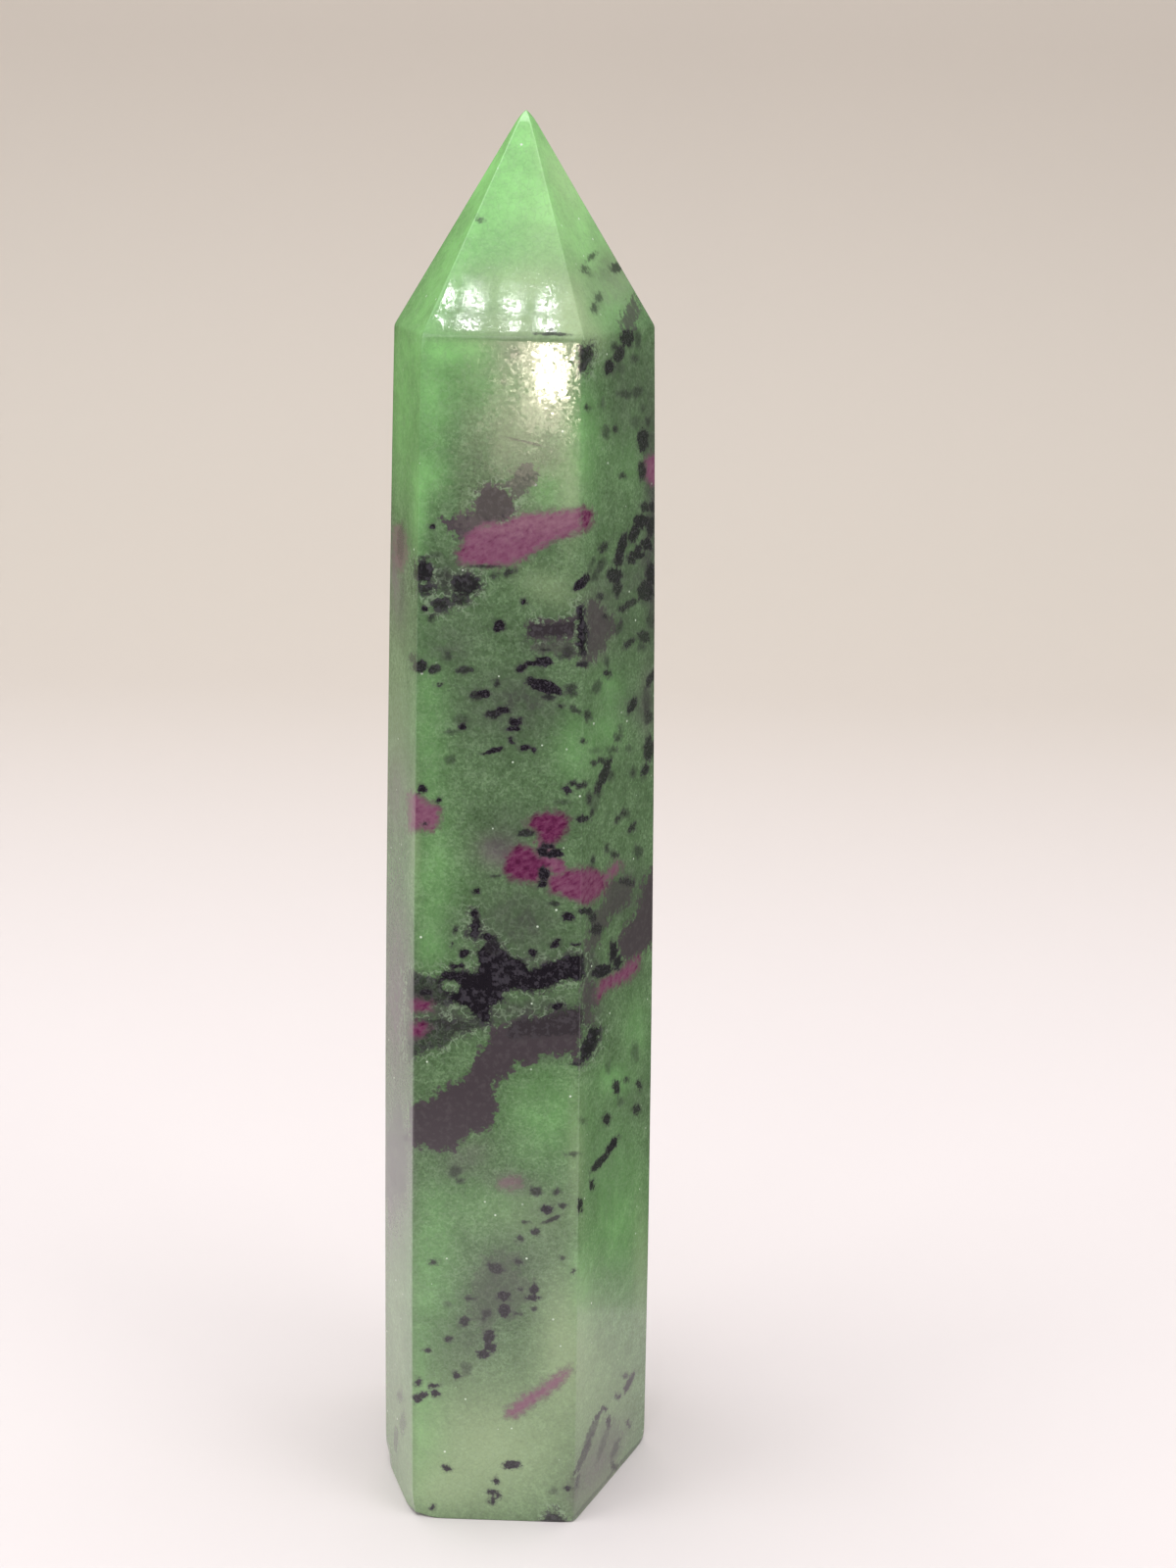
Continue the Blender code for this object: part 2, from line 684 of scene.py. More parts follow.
# Around and below the ruby bar
MIDDLE_SPECKS = marks(Speck, (
    (492, 578, 30, 3, .6), (520, 584, 12, 8, .8), (503, 587, 8, 5, .7), (453, 588, 14, 16, .45),
    (439, 631, 6, 8, .7), (455, 600, 10, 8, .4), (434, 621, 6, 4), (444, 567, 10, 5, .4),
    (434, 569, 8, 3, .7), (535, 615, 7, 6), (509, 638, 10, 10), (508, 642, 10, 4),
    (594, 594, 20, 9, 1, 46), (613, 577, 15, 8, .55, 60), (615.5, 559, 11, 7, .75, 50),
    (607, 588, 9, 9, .5), (604, 575, 11, 4, .45, 65), (634, 559, 34, 9, .9, 75),
    (631, 573, 10, 12, .75), (658, 518, 9, 9, .75), (666, 518, 8, 10, .75), (654, 532, 14, 15, .9),
    (647, 544, 22, 10, .9, 68), (664, 538, 9, 22, .8), (660, 556, 11, 12, .9),
    (653, 559, 7, 7, .9), (650, 566, 14, 10, .9), (644, 571, 9, 9, .8), (627, 587, 16, 15, .85),
    (630, 600, 9, 18, .75), (664, 586, 10, 26, .85), (659, 604, 16, 22, .8), (612, 609, 8, 7, .7),
    (643, 616, 18, 7, .7, 25), (635, 621, 9, 6, .7), (632, 640, 6, 13, .5, -15),
    (618, 629, 6, 6, .6), (664, 633, 9, 15, .45, -15), (657, 650, 11, 14, .7, 30),
    (642, 656, 14, 6, .75, 45), (557, 663, 10, 3, .7), (581, 663, 14, 10, .5),
    (574, 670, 12, 6, .6), (555.5, 675, 16, 12), (544, 677, 14, 5), (532, 682, 12, 7, 1, 30),
    (595, 678, 14, 5, .9), (429, 680, 17, 13, .9), (443, 683, 12, 9, .85), (457, 668, 8, 10, .5),
    (474, 684, 18, 7, .75), (421, 672, 8, 8, .6), (447, 698, 5, 3), (507, 697, 8, 7, .8),
    (541, 694, 10, 8, .9), (556, 701, 38, 13, 1, -16), (546, 698, 14, 9), (560, 711, 12, 6, .8),
    (582, 702, 10, 8, .7), (585, 708, 9, 6, .6), (609, 701, 14, 8, .5, 65),
    (620, 687.5, 7, 8, .85), (619, 675, 5, 9, .55), (492, 708, 17, 9), (486, 710, 10, 8, .8),
    (515, 724, 14, 8), (504, 729, 14, 8, .9), (526, 736, 14, 8), (523, 744, 14, 5),
    (473, 742, 10, 6), (461, 747, 12, 5, .5), (471, 735, 12, 10, .35), (572, 720, 7, 4, .8),
    (588, 725, 12, 6, .7, -30), (600, 731, 7, 9, .7), (595, 756.5, 6, 4, .8),
    (503, 766, 20, 5, 1, 17), (536, 763, 10, 6), (544, 766, 5, 5), (522, 756, 5, 6),
    (459, 775, 9, 8, .4), (645, 720, 17, 7, .85, 62), (664, 692, 18, 6, .8, 68),
    (660, 716, 7, 28, .4), (662, 732, 9, 12, .6), (633, 745, 5, 9, .5), (630, 753, 5, 7, .65),
    (642, 764, 6, 8, .35), (625, 765, 9, 6, .5), (662, 764, 10, 26, .8, -5), (606, 778, 6, 6, .75),
    (614, 776, 7, 7, .75), (616, 791, 38, 8, .85, 67), (623, 792, 7, 9, .5), (646, 788, 5, 9, .55),
    (658, 786, 7, 14, .85, -10), (587, 799, 5, 5, .8), (610, 808, 8, 9, .6), (601, 815, 5, 12, .7),
    (606, 818, 10, 16, .35), (608, 766, 9, 6, .3), (655, 660, 8, 8, .5),
))

# Around the ruby group and the black vein
VEIN_SPECKS = marks(Speck, (
    (430, 805, 9, 9), (448, 817, 6, 6), (433, 841, 6, 3, .8), (579, 806, 8, 9),
    (583, 800, 6, 5, .8), (593, 802, 11, 6, .85, 25), (574, 819, 12, 6, .4), (536, 850, 18, 7, .8),
    (554, 869, 12, 12), (566, 871, 16, 10), (559, 864, 10, 6), (555, 892, 10, 14),
    (554, 902, 10, 8), (486, 909, 6, 5), (504, 894, 12, 2, .6), (566, 922, 8, 5, .7),
    (579, 936, 13, 8), (567, 963, 12, 8, 1, 25), (588, 964, 8, 3), (595, 835.5, 13, 7, .9),
    (604, 829.5, 4, 6, .75), (544, 973, 8, 8), (631, 835, 10, 5, .7, 60), (638, 830, 7, 9, .6),
    (645, 844.5, 11, 6, .8, 50), (651, 869, 8, 11, .55), (627, 871, 8, 6, .7, -30),
    (605, 879, 4, 9, .7), (619, 865.5, 5, 8, .7), (637, 899, 12, 6, .6), (598, 930, 15, 7, .9),
    (604, 936, 8, 10, .8), (643, 901, 7, 6, .7), (609, 948, 13, 12, .75), (626, 971, 8, 22),
    (630, 982, 10, 14), (614, 991, 22, 12, 1, 24), (484, 933, 8, 10), (497, 956, 12, 8),
    (503, 964, 14, 16, .8), (473, 974, 10, 10), (464, 986, 7, 6), (471, 985, 4, 4),
    (462, 963, 4, 5), (465, 950, 4, 6, .8), (568, 1027, 14, 6), (588, 1086, 12, 3, .8),
    (435, 1013, 12, 7, .9),
))

# The lower third
LOWER_SPECKS = marks(Speck, (
    (629, 1109, 7, 14, .9), (652, 1107, 5, 9, .8), (650, 1132, 7, 9, .8), (619, 1142, 8, 11, .9),
    (633, 1125, 5, 7, .4), (639, 1102, 4, 5, .7), (648, 1073, 8, 18, .35), (621, 1089, 5, 12, .35),
    (595, 1144, 5, 5, .4), (625, 1168, 20, 7, 1, 56), (612, 1186, 26, 7, .9, 48),
    (604, 1209, 5, 9, .9), (592, 1229, 5, 13, .9), (418, 1064, 3, 4), (414, 1161, 4, 6, .8),
    (584, 1178, 12, 4, .6), (464, 1196, 12, 10, .5), (469, 1205, 6, 4, .7), (547, 1216, 12, 8, .8),
    (568, 1216, 7, 5, .8), (575, 1230, 8, 4, .8), (558, 1234, 12, 8), (564, 1244, 20, 4, .8, 23),
    (547, 1257, 8, 8, .9), (530, 1264, 6, 7, .8), (536, 1247, 6, 3, .7), (443, 1288, 9, 5, .8),
    (529, 1288, 6, 5, .8), (506, 1294, 16, 10, .8, -25), (514, 1323, 14, 10), (515, 1338, 12, 14),
    (545, 1315, 8, 12), (543, 1324, 12, 6), (532, 1316, 4, 4), (481, 1325, 9, 4, .8),
    (473, 1348, 10, 9, .9), (458, 1366, 8, 6, .9), (499, 1365, 12, 14), (501, 1375, 10, 10),
    (494, 1382, 16, 8), (544, 1336, 5, 4, .8), (497, 1340, 8, 8, .7), (493, 1346, 5, 5, .7),
    (457, 1331, 6, 7, .35), (528, 1340, 6, 3, .8), (585, 1297, 4, 4, .8), (573, 1284, 5, 3, .7),
    (436, 1378, 6, 4, .9), (466, 1403, 6, 6), (476, 1396, 10, 12, .4), (426, 1410, 5, 6),
    (443, 1414, 9, 4), (444, 1421, 8, 6), (432, 1423, 10, 5), (426, 1427, 8, 8),
    (642, 1411, 20, 5, 1, 62), (638, 1404, 5, 5, .8), (630, 1425, 4, 5), (616, 1437, 5, 4),
    (611, 1443, 12, 3, .7, 50), (621, 1451, 4, 10), (641, 1453, 3, 5), (456, 1498, 7, 6),
    (522, 1495, 16, 8), (506, 1511, 6, 7), (503, 1522, 10, 6), (508, 1526, 6, 6),
    (503, 1531, 7, 6), (442, 1538, 4, 3), (596, 1484, 44, 6, .65, 66), (638, 1488, 52, 3, .35, 49),
    (603, 1462, 40, 6, .6, 68), (601, 1531, 60, 3, .3, 49), (615, 1474, 34, 5, .4, 72),
    (628, 1478, 22, 5, .5, 68), (589, 1513, 14, 4, .6, 75), (626, 1496, 5, 6, .8),
    (579, 1520, 6, 5), (565, 1522, 7, 6, .4), (411, 1451, 5, 20, .4), (404, 1469, 4, 22, .4),
    (408, 1424, 4, 8, .6),
))

RUBIES = (
    Patch(.66, (
        (474, 551), (481, 541), (495, 535), (517, 534), (524, 528), (539, 525), (561, 524),
        (581, 521), (593, 518), (593, 541), (581, 545), (561, 553), (546, 562), (535, 569),
        (521, 576), (503, 576), (481, 576), (470, 575), (468, 565), (473, 559),
    )),
    Patch(.9, ((593, 518), (600, 519), (604, 524), (604, 532), (602, 538), (597, 541), (593, 542))),
    Patch(.9, ((470, 575), (470, 562), (478, 551), (486, 548), (492, 556), (486, 574))),
    Patch(.63, (
        (418, 810), (428, 812), (436, 819), (448, 824), (448, 831), (447, 840), (441, 847),
        (430, 845), (418, 847),
    )),
    Patch(1, (
        (539, 840), (546, 833), (557, 829), (574, 831), (580, 837), (578, 845), (572, 854),
        (564, 861), (558, 862), (552, 856), (548, 847), (541, 844),
    )),
    Patch(1, (
        (514, 884), (517, 876), (521, 869), (530, 863), (541, 864), (546, 869), (550, 876),
        (560, 876), (567, 878), (564, 884), (559, 887), (554, 893), (548, 900), (539, 900),
        (526, 897), (517, 893),
    )),
    Patch(.82, (
        (561, 893), (570, 893), (579, 889), (592, 888), (603, 887), (609, 889), (616, 893),
        (619, 896), (617, 904), (614, 911), (606, 918), (599, 922), (586, 918), (575, 914),
        (564, 909), (559, 904),
    )),
    Patch(.72, (
        (549, 858), (560, 861), (569, 874), (580, 889), (570, 895), (558, 886), (549, 874),
    )),
    Patch(.6, ((613, 896), (622, 889), (630, 879), (633, 882), (626, 893), (617, 900))),
    Patch(.75, (
        (652, 976), (650, 989), (641, 999), (630, 1004), (619, 1009), (610, 1020), (610, 1010),
        (615, 1000), (628, 993), (641, 984),
    )),
    Patch(.65, (
        (658, 474), (662, 467), (670, 463), (678, 463), (678, 494), (666, 494), (659, 488),
    )),
    Patch(.4, ((402, 538), (408, 536), (413, 548), (414, 570), (409, 582), (403, 576))),
    Patch(.85, ((420, 1022), (430, 1021), (442, 1025), (440, 1030), (420, 1031))),
    Patch(.85, ((420, 1045), (430, 1044), (437, 1049), (432, 1056), (420, 1057))),
    Patch(.54, (
        (517, 1441), (524, 1436), (535, 1424), (550, 1418), (559, 1409), (568, 1404), (583, 1397),
        (577, 1407), (566, 1416), (554, 1425), (541, 1434), (530, 1444), (519, 1444),
    )),
    Patch(.3, ((509, 1206), (520, 1201), (531, 1202), (533, 1209), (521, 1213), (510, 1211))),
)

GREYS = (
    Patch(.75, (
        (647, 301), (654, 310), (650, 322), (646, 338), (636, 340), (633, 326), (638, 314),
    )),
    Patch(.75, (
        (523, 480), (531, 472), (541, 472), (550, 485), (545, 496), (536, 505), (524, 507),
        (519, 494),
    )),
    Patch(1, (
        (524, 508), (524, 524), (517, 533), (501, 536), (489, 540), (484, 546), (470, 551),
        (463, 545), (455, 538), (448, 528), (457, 530), (468, 525), (481, 521), (486, 511),
        (489, 501), (492, 495), (503, 495), (515, 498),
    )),
    Patch(1, (
        (537, 634), (554, 633), (564, 633), (581, 631), (590, 629), (590, 648), (583, 650),
        (572, 651), (554, 653), (538, 652),
    )),
    Patch(.6, ((542, 655), (588, 653), (592, 665), (584, 672), (560, 669), (545, 669))),
    Patch(.85, (
        (599, 616), (607, 611), (613, 618), (622, 629), (631, 633), (629, 643), (622, 650),
        (618, 658), (611, 668), (604, 677), (592, 679), (598, 662),
    )),
    Patch(.8, (
        (620, 902), (628, 897), (645, 894), (647, 908), (642, 921), (633, 931), (623, 935),
        (622, 943), (616, 950), (613, 960), (605, 971), (596, 971), (599, 958), (603, 946),
        (601, 934), (612, 928), (616, 918),
    )),
    Patch(1, (
        (674, 876), (668, 883), (661, 893), (654, 905), (652, 922), (648, 933), (639, 944),
        (632, 954), (628, 964), (635, 978), (641, 984), (650, 976), (663, 967), (674, 960),
    )),
    Patch(.85, ((595, 998), (608, 1004), (610, 1018), (604, 1029), (606, 1044), (594, 1048))),
    Patch(1, (
        (418, 1127), (439, 1122), (450, 1111), (466, 1104), (477, 1098), (481, 1087), (488, 1073),
        (499, 1065), (499, 1049), (517, 1047), (528, 1040), (554, 1037), (564, 1034), (581, 1029),
        (596, 1029), (592, 1080), (588, 1085), (581, 1077), (572, 1078), (563, 1074), (554, 1078),
        (544, 1085), (539, 1090), (528, 1085), (519, 1098), (506, 1104), (504, 1113), (508, 1131),
        (503, 1149), (492, 1154), (479, 1156), (468, 1169), (463, 1175), (444, 1174), (435, 1171),
        (418, 1169),
    )),
    Patch(.3, (
        (608, 1451), (619, 1442), (628, 1448), (636, 1462), (632, 1486), (634, 1500), (612, 1528),
        (596, 1548), (583, 1550), (581, 1513), (586, 1504), (594, 1490), (599, 1474), (603, 1460),
    )),
    Patch(.3, (
        (492, 1282), (517, 1275), (528, 1282), (524, 1296), (539, 1304), (546, 1311), (544, 1324),
        (532, 1336), (524, 1344), (508, 1344), (499, 1362), (492, 1365), (488, 1349), (477, 1340),
        (481, 1324), (483, 1305), (488, 1293),
    )),
)

BLACKS = (
    Patch(.85, (
        (591, 356), (605, 352), (606, 362), (601, 366), (600, 379), (591, 379), (590, 369),
    )),
    Patch(.4, (
        (490, 500), (503, 497), (516, 500), (523, 510), (524, 522), (517, 532), (500, 535),
        (488, 532), (484, 524), (488, 512),
    )),
    Patch(.95, (
        (425, 574), (434, 572), (441, 577), (443, 587), (438, 594), (428, 594), (423, 586),
    )),
    Patch(.85, ((426, 599), (437, 597), (446, 600), (442, 606), (430, 607))),
    Patch(.9, (
        (461, 592), (468, 587), (478, 586), (488, 590), (491, 597), (485, 605), (476, 608),
        (464, 606),
    )),
    Patch(.75, ((462, 605), (476, 606), (478, 615), (470, 619), (463, 615))),
    Patch(.85, ((442, 613), (455, 608), (461, 614), (455, 622), (446, 624), (439, 619))),
    Patch(1, (
        (590, 617), (596, 618), (596, 632), (600, 640), (599, 651), (598, 669), (589, 667),
        (589, 650),
    )),
    Patch(.5, ((538, 637), (570, 636), (589, 633), (589, 646), (571, 650), (540, 650))),
    Patch(1, ((481, 929), (490, 936), (491, 949), (486, 958), (477, 954), (481, 945))),
    Patch(1, (
        (446, 1006), (448, 996), (455, 989), (463, 990), (470, 991), (479, 991), (486, 994),
        (489, 984), (486, 971), (492, 964), (506, 962), (515, 971), (521, 976), (534, 980),
        (541, 989), (550, 987), (559, 982), (570, 980), (581, 974), (596, 974), (596, 1000),
        (577, 1000), (566, 1004), (555, 1011), (544, 1012), (524, 1009), (510, 1014), (515, 1020),
        (506, 1025), (500, 1027), (501, 1044), (490, 1044), (478, 1030), (460, 1022),
    )),
    Patch(.7, ((418, 992), (434, 998), (447, 999), (458, 1012), (456, 1026), (418, 1028))),
    Patch(.6, (
        (418, 1040), (456, 1038), (482, 1036), (496, 1044), (477, 1054), (470, 1053), (464, 1056),
        (459, 1062), (452, 1068), (441, 1068), (430, 1073), (418, 1080),
    )),
    Patch(.45, (
        (520, 1046), (535, 1038), (551, 1040), (560, 1031), (571, 1026), (592, 1029), (596, 1024),
        (596, 1050), (590, 1056), (560, 1058), (535, 1058), (518, 1060),
    )),
    Patch(1, (
        (602, 1047), (613, 1049), (610, 1064), (604, 1076), (595, 1084), (591, 1085), (593, 1067),
        (598, 1056),
    )),
    Patch(.9, ((554, 1556), (554, 1552), (561, 1544), (566, 1540), (570, 1545), (582, 1556))),
)

GREENS = (
    Patch(1, ((450, 1001), (458, 1000), (468, 1003), (470, 1009), (463, 1013), (452, 1010))),
    Patch(.6, (
        (418, 1033), (443, 1026), (461, 1024), (472, 1027), (481, 1036), (477, 1042), (466, 1041),
        (459, 1043), (448, 1038), (437, 1040), (418, 1043),
    )),
)

# The larger bodies of each mineral, as outlines
PATCHES = {
    Mineral.RUBY: RUBIES, Mineral.BLACK: BLACKS, Mineral.GREY: GREYS, Mineral.GREEN: GREENS,
}

# The soft tints, with no edges. The lit and pale ones are partly painted light.
CLOUDS = {
    # Partly painted light: a glowing tip, brighter lit facets and a lit band on the worn front-left
    # edge, with some lighter green
    Tint.LIT: marks(Cloud, (
        (537, 160, 120, 190), (520, 250, 200, 190, .5), (590, 230, 80, 230, .7, 30),
        (455, 280, 60, 230, .6, -30), (438, 400, 70, 220, .65), (408, 420, 30, 260, .5),
        (562, 178, 56, 140, .65, 30), (500, 172, 36, 120, .7, -30), (470, 357, 110, 36, .7),
        (428, 520, 26, 130, .6), (438, 966, 50, 60, .3), (594, 1310, 40, 120, .35),
        (620, 315, 70, 80, .35), (594, 450, 50, 190, .5), (438, 740, 56, 240, .35),
        (442, 900, 70, 170, .35), (588, 762, 60, 90, .38), (560, 1140, 120, 130, .38),
        (440, 1290, 76, 220, .38), (440, 1470, 50, 160, .35), (500, 1230, 140, 90, .2),
        (630, 1240, 90, 240, .45), (650, 1050, 40, 90, .3), (560, 500, 50, 60, .4),
        (625, 705, 40, 60, .4, 30), (640, 470, 50, 90, .2), (500, 388, 130, 100, .3),
        (440, 488, 50, 60, .4), (478, 385, 60, 90, .15), (622, 745, 40, 60, .3),
        (628, 1102, 50, 40, .5), (428, 1440, 24, 240, .3),
    )),
    # Partly painted light: sheen under the ceiling spots on the front facet, a glint along the
    # front-left edge and reflections of the floor low down, with some paler green
    Tint.PALE: marks(Cloud, (
        (572, 175, 44, 130, .5, 30), (655, 1290, 26, 170, .4), (588, 1180, 26, 180, .35),
        (500, 1480, 240, 200, .85), (620, 1410, 110, 180, .3), (575, 1370, 80, 200, .65),
        (570, 240, 130, 200, .4), (630, 275, 70, 90, .5), (404, 1340, 40, 440, .35),
        (404, 720, 40, 300, .3), (520, 440, 110, 80, .3), (560, 600, 90, 50, .35, -20),
        (540, 1240, 130, 70, .2), (614, 1518, 100, 34, .6, 50), (585, 318, 40, 80, .6),
        (582, 500, 36, 170, .45), (606, 345, 40, 60, .4), (532, 335, 180, 50, .6),
        (520, 298, 160, 80, .35), (442, 1522, 100, 70, .4), (540, 290, 150, 60, .3),
        (582, 325, 40, 60, .5), (424, 850, 14, 160, .4),
    )),
    Tint.DUSK: marks(Cloud, (
        (404, 1180, 40, 150, .55), (664, 520, 24, 380, .8), (455, 664, 80, 50, .5),
        (535, 962, 120, 70, .4), (470, 948, 90, 50, .3), (460, 590, 80, 60, .8),
        (560, 650, 80, 60, .6), (515, 720, 150, 110, .6), (650, 720, 50, 80, .6, 60),
        (510, 862, 50, 40, .6), (620, 275, 50, 50, .5), (467, 1191, 60, 34, .5, 20),
        (524, 1206, 70, 30, .4), (640, 590, 60, 130, .6, -60), (640, 920, 50, 100, .6, -60),
        (408, 556, 16, 60, .6), (640, 380, 60, 110, .35), (530, 930, 120, 90, .35),
        (640, 440, 40, 120, .3), (636, 640, 60, 70, .4), (525, 835, 100, 50, .3),
        (535, 1030, 150, 30, .4, 15), (440, 1030, 60, 24, .5), (440, 1172, 60, 30, .4),
        (545, 714, 90, 60, .35, -20), (604, 985, 20, 50, .6), (404, 1250, 36, 130, .3),
        (404, 980, 36, 180, .3), (462, 640, 110, 60, .3), (530, 930, 110, 60, .3),
        (410, 610, 7, 80, .5, -4), (408, 1160, 10, 130, .5, 3), (669, 545, 16, 240),
        (402, 1182, 40, 110, .7), (520, 1036, 170, 44, .5, 8), (606, 1030, 34, 56, .6),
        (552, 984, 50, 30, .4), (456, 1040, 54, 50, .6), (562, 1078, 60, 20, .6),
        (620, 1190, 60, 130, .25), (604, 985, 30, 60, .4), (640, 890, 50, 40, .4),
        (512, 1305, 90, 150, .5, -40), (478, 1370, 70, 80, .35, -40), (560, 1230, 60, 30, .3, 20),
        (648, 1120, 50, 70, .3, 30),
    )),
    Tint.MAUVE: marks(Cloud, (
        (404, 600, 36, 130, .5), (404, 810, 36, 120, .5), (404, 1020, 40, 260, .9),
        (404, 1200, 40, 140, .5), (610, 1496, 130, 50, .55, 58), (402, 570, 10, 110, .6, 4),
        (398, 1230, 8, 110, .5), (521, 1207, 60, 30, .4, -20), (478, 1180, 70, 40, .3, 30),
        (508, 868, 60, 50, .75), (660, 716, 20, 100, .4), (625, 300, 60, 60, .3),
        (520, 360, 60, 60, .3), (608, 640, 40, 90, .5),
    )),
}

# The bodies that reach the sides turned away, in line with what shows at the seen edges
LENSES = {
    Mineral.RUBY: (
        Lens(.8, (12.6, 2.4, 107.3), (2.4, 3.0, 1.4)),
        Lens(.9, (1.0, 12.8, 97.0), (5.0, 2.5, 1.5)),
        Lens(1, (-10.6, 7.5, 79.0), (2.6, 3.2, 1.7)),
        Lens(1, (-3.0, 13.0, 73.5), (2.8, 2.0, 1.8)),
        Lens(.8, (9.6, 8.4, 43.0), (2.6, 3.4, 1.1)),
        Lens(.6, (3.5, 13.2, 21.5), (3.4, 2.0, 1.0)),
        Lens(.7, (-3.0, 1.0, 0.0), (3.6, 2.6, 1.6)),
    ),
    Mineral.BLACK: (
        Lens(1, (7.0, 11.0, 60.0), (8.0, 8.0, 2.4)),
        Lens(1, (-2.5, 12.6, 56.0), (8.5, 6.0, 2.6)),
        Lens(1, (-11.0, 6.5, 52.0), (6.5, 10.0, 2.8)),
        Lens(1, (13.1, 2.8, 97.0), (0.9, 1.3, 1.2)),
        Lens(1, (13.4, 2.7, 79.6), (0.9, 1.3, 1.1)),
        Lens(1, (-6.0, 12.6, 104.0), (3.0, 2.0, 0.9)),
    ),
    Mineral.GREY: (
        Lens(.95, (12.5, 4.0, 62.5), (6.0, 7.0, 3.6)),
        Lens(.9, (-4.0, 12.0, 52.0), (8.0, 7.0, 2.8)),
        Lens(.9, (-12.2, 4.0, 46.0), (6.0, 10.0, 3.4)),
        Lens(.5, (10.0, 7.0, 98.0), (4.0, 5.0, 2.4)),
        Lens(.6, (-7.5, 11.5, 88.0), (4.5, 5.0, 2.2)),
        Lens(.4, (5.0, 12.5, 33.0), (5.0, 4.0, 2.4)),
        Lens(.4, (5.5, -3.0, 0.0), (4.5, 4.0, 2.0)),
        Lens(.4, (-12.8, 2.0, 14.0), (2.4, 5.0, 3.0)),
    ),
    Mineral.GREEN: (
        Lens(1, (3.0, 13.0, 58.6), (4.5, 3.0, 0.8)),
        Lens(1, (-11.5, 5.5, 48.4), (3.0, 4.5, 0.7)),
    ),
}


@dataclass(frozen=True)
class Scatter:
    """Black grains strewn over the sides turned away, loosely gathered along the layers."""

    seed: int = 20
    clusters: int = 26
    each: int = 13
    loose: int = 90
    on_base: int = 24
    lowest: float = 1.0
    past_shoulder: float = 6.0
    base_half: float = 11.0
    spread: Point3 = (2.6, 2.6, 0.9)
    mean_size: float = 0.36
    size_spread: float = 0.42
    stretch: Point3 = (1.25, 1.0, 0.85)
    stretch_spread: float = 0.25
    darkness: Point2 = (0.65, 1.0)

    def grains(self, form: TowerForm) -> tuple[Array, Array, Array]:
        """Strew the grains near the surface of the hidden sides and of the base.

        Args:
            form: The stone's ground shape.

        Returns:
            Middles (n, 3), half sizes along the layer axes (n, 3) and darknesses (n,).
        """
        rng = np.random.default_rng(self.seed)
        corners = np.array(form.corners)
        places = np.concatenate([corners[len(SEEN_SIDES):], corners[:1]])
        count = self.clusters + self.loose
        along = rng.uniform(0, len(places) - 1, count)
        height = rng.uniform(self.lowest, form.shoulder + self.past_shoulder, count)
        share = form.share(np.minimum(height, form.shoulder))
        share *= np.clip((form.tip[2] - height) / (form.tip[2] - form.shoulder), 0, 1)
        steps = range(len(places))
        ring = np.stack([np.interp(along, steps, places[:, axis]) for axis in (0, 1)], axis=1)
        start = np.column_stack([ring * share[:, None], height])
        nests = np.repeat(start[:self.clusters], self.each, axis=0)
        drift = rng.normal(0, 1, nests.shape) * np.array(self.spread)
        middles = np.concatenate([nests + drift @ LAYERS, start[self.clusters:]])
        under = rng.uniform(-self.base_half, self.base_half, (self.on_base, 3)) * (1, 1, 0)
        middles = np.concatenate([middles, under])
        size = self.mean_size * np.exp(rng.normal(0, self.size_spread, (len(middles), 1)))
        stretch = np.exp(rng.normal(0, self.stretch_spread, (len(middles), 3))) * self.stretch
        return middles, size * stretch, rng.uniform(*self.darkness, len(middles))


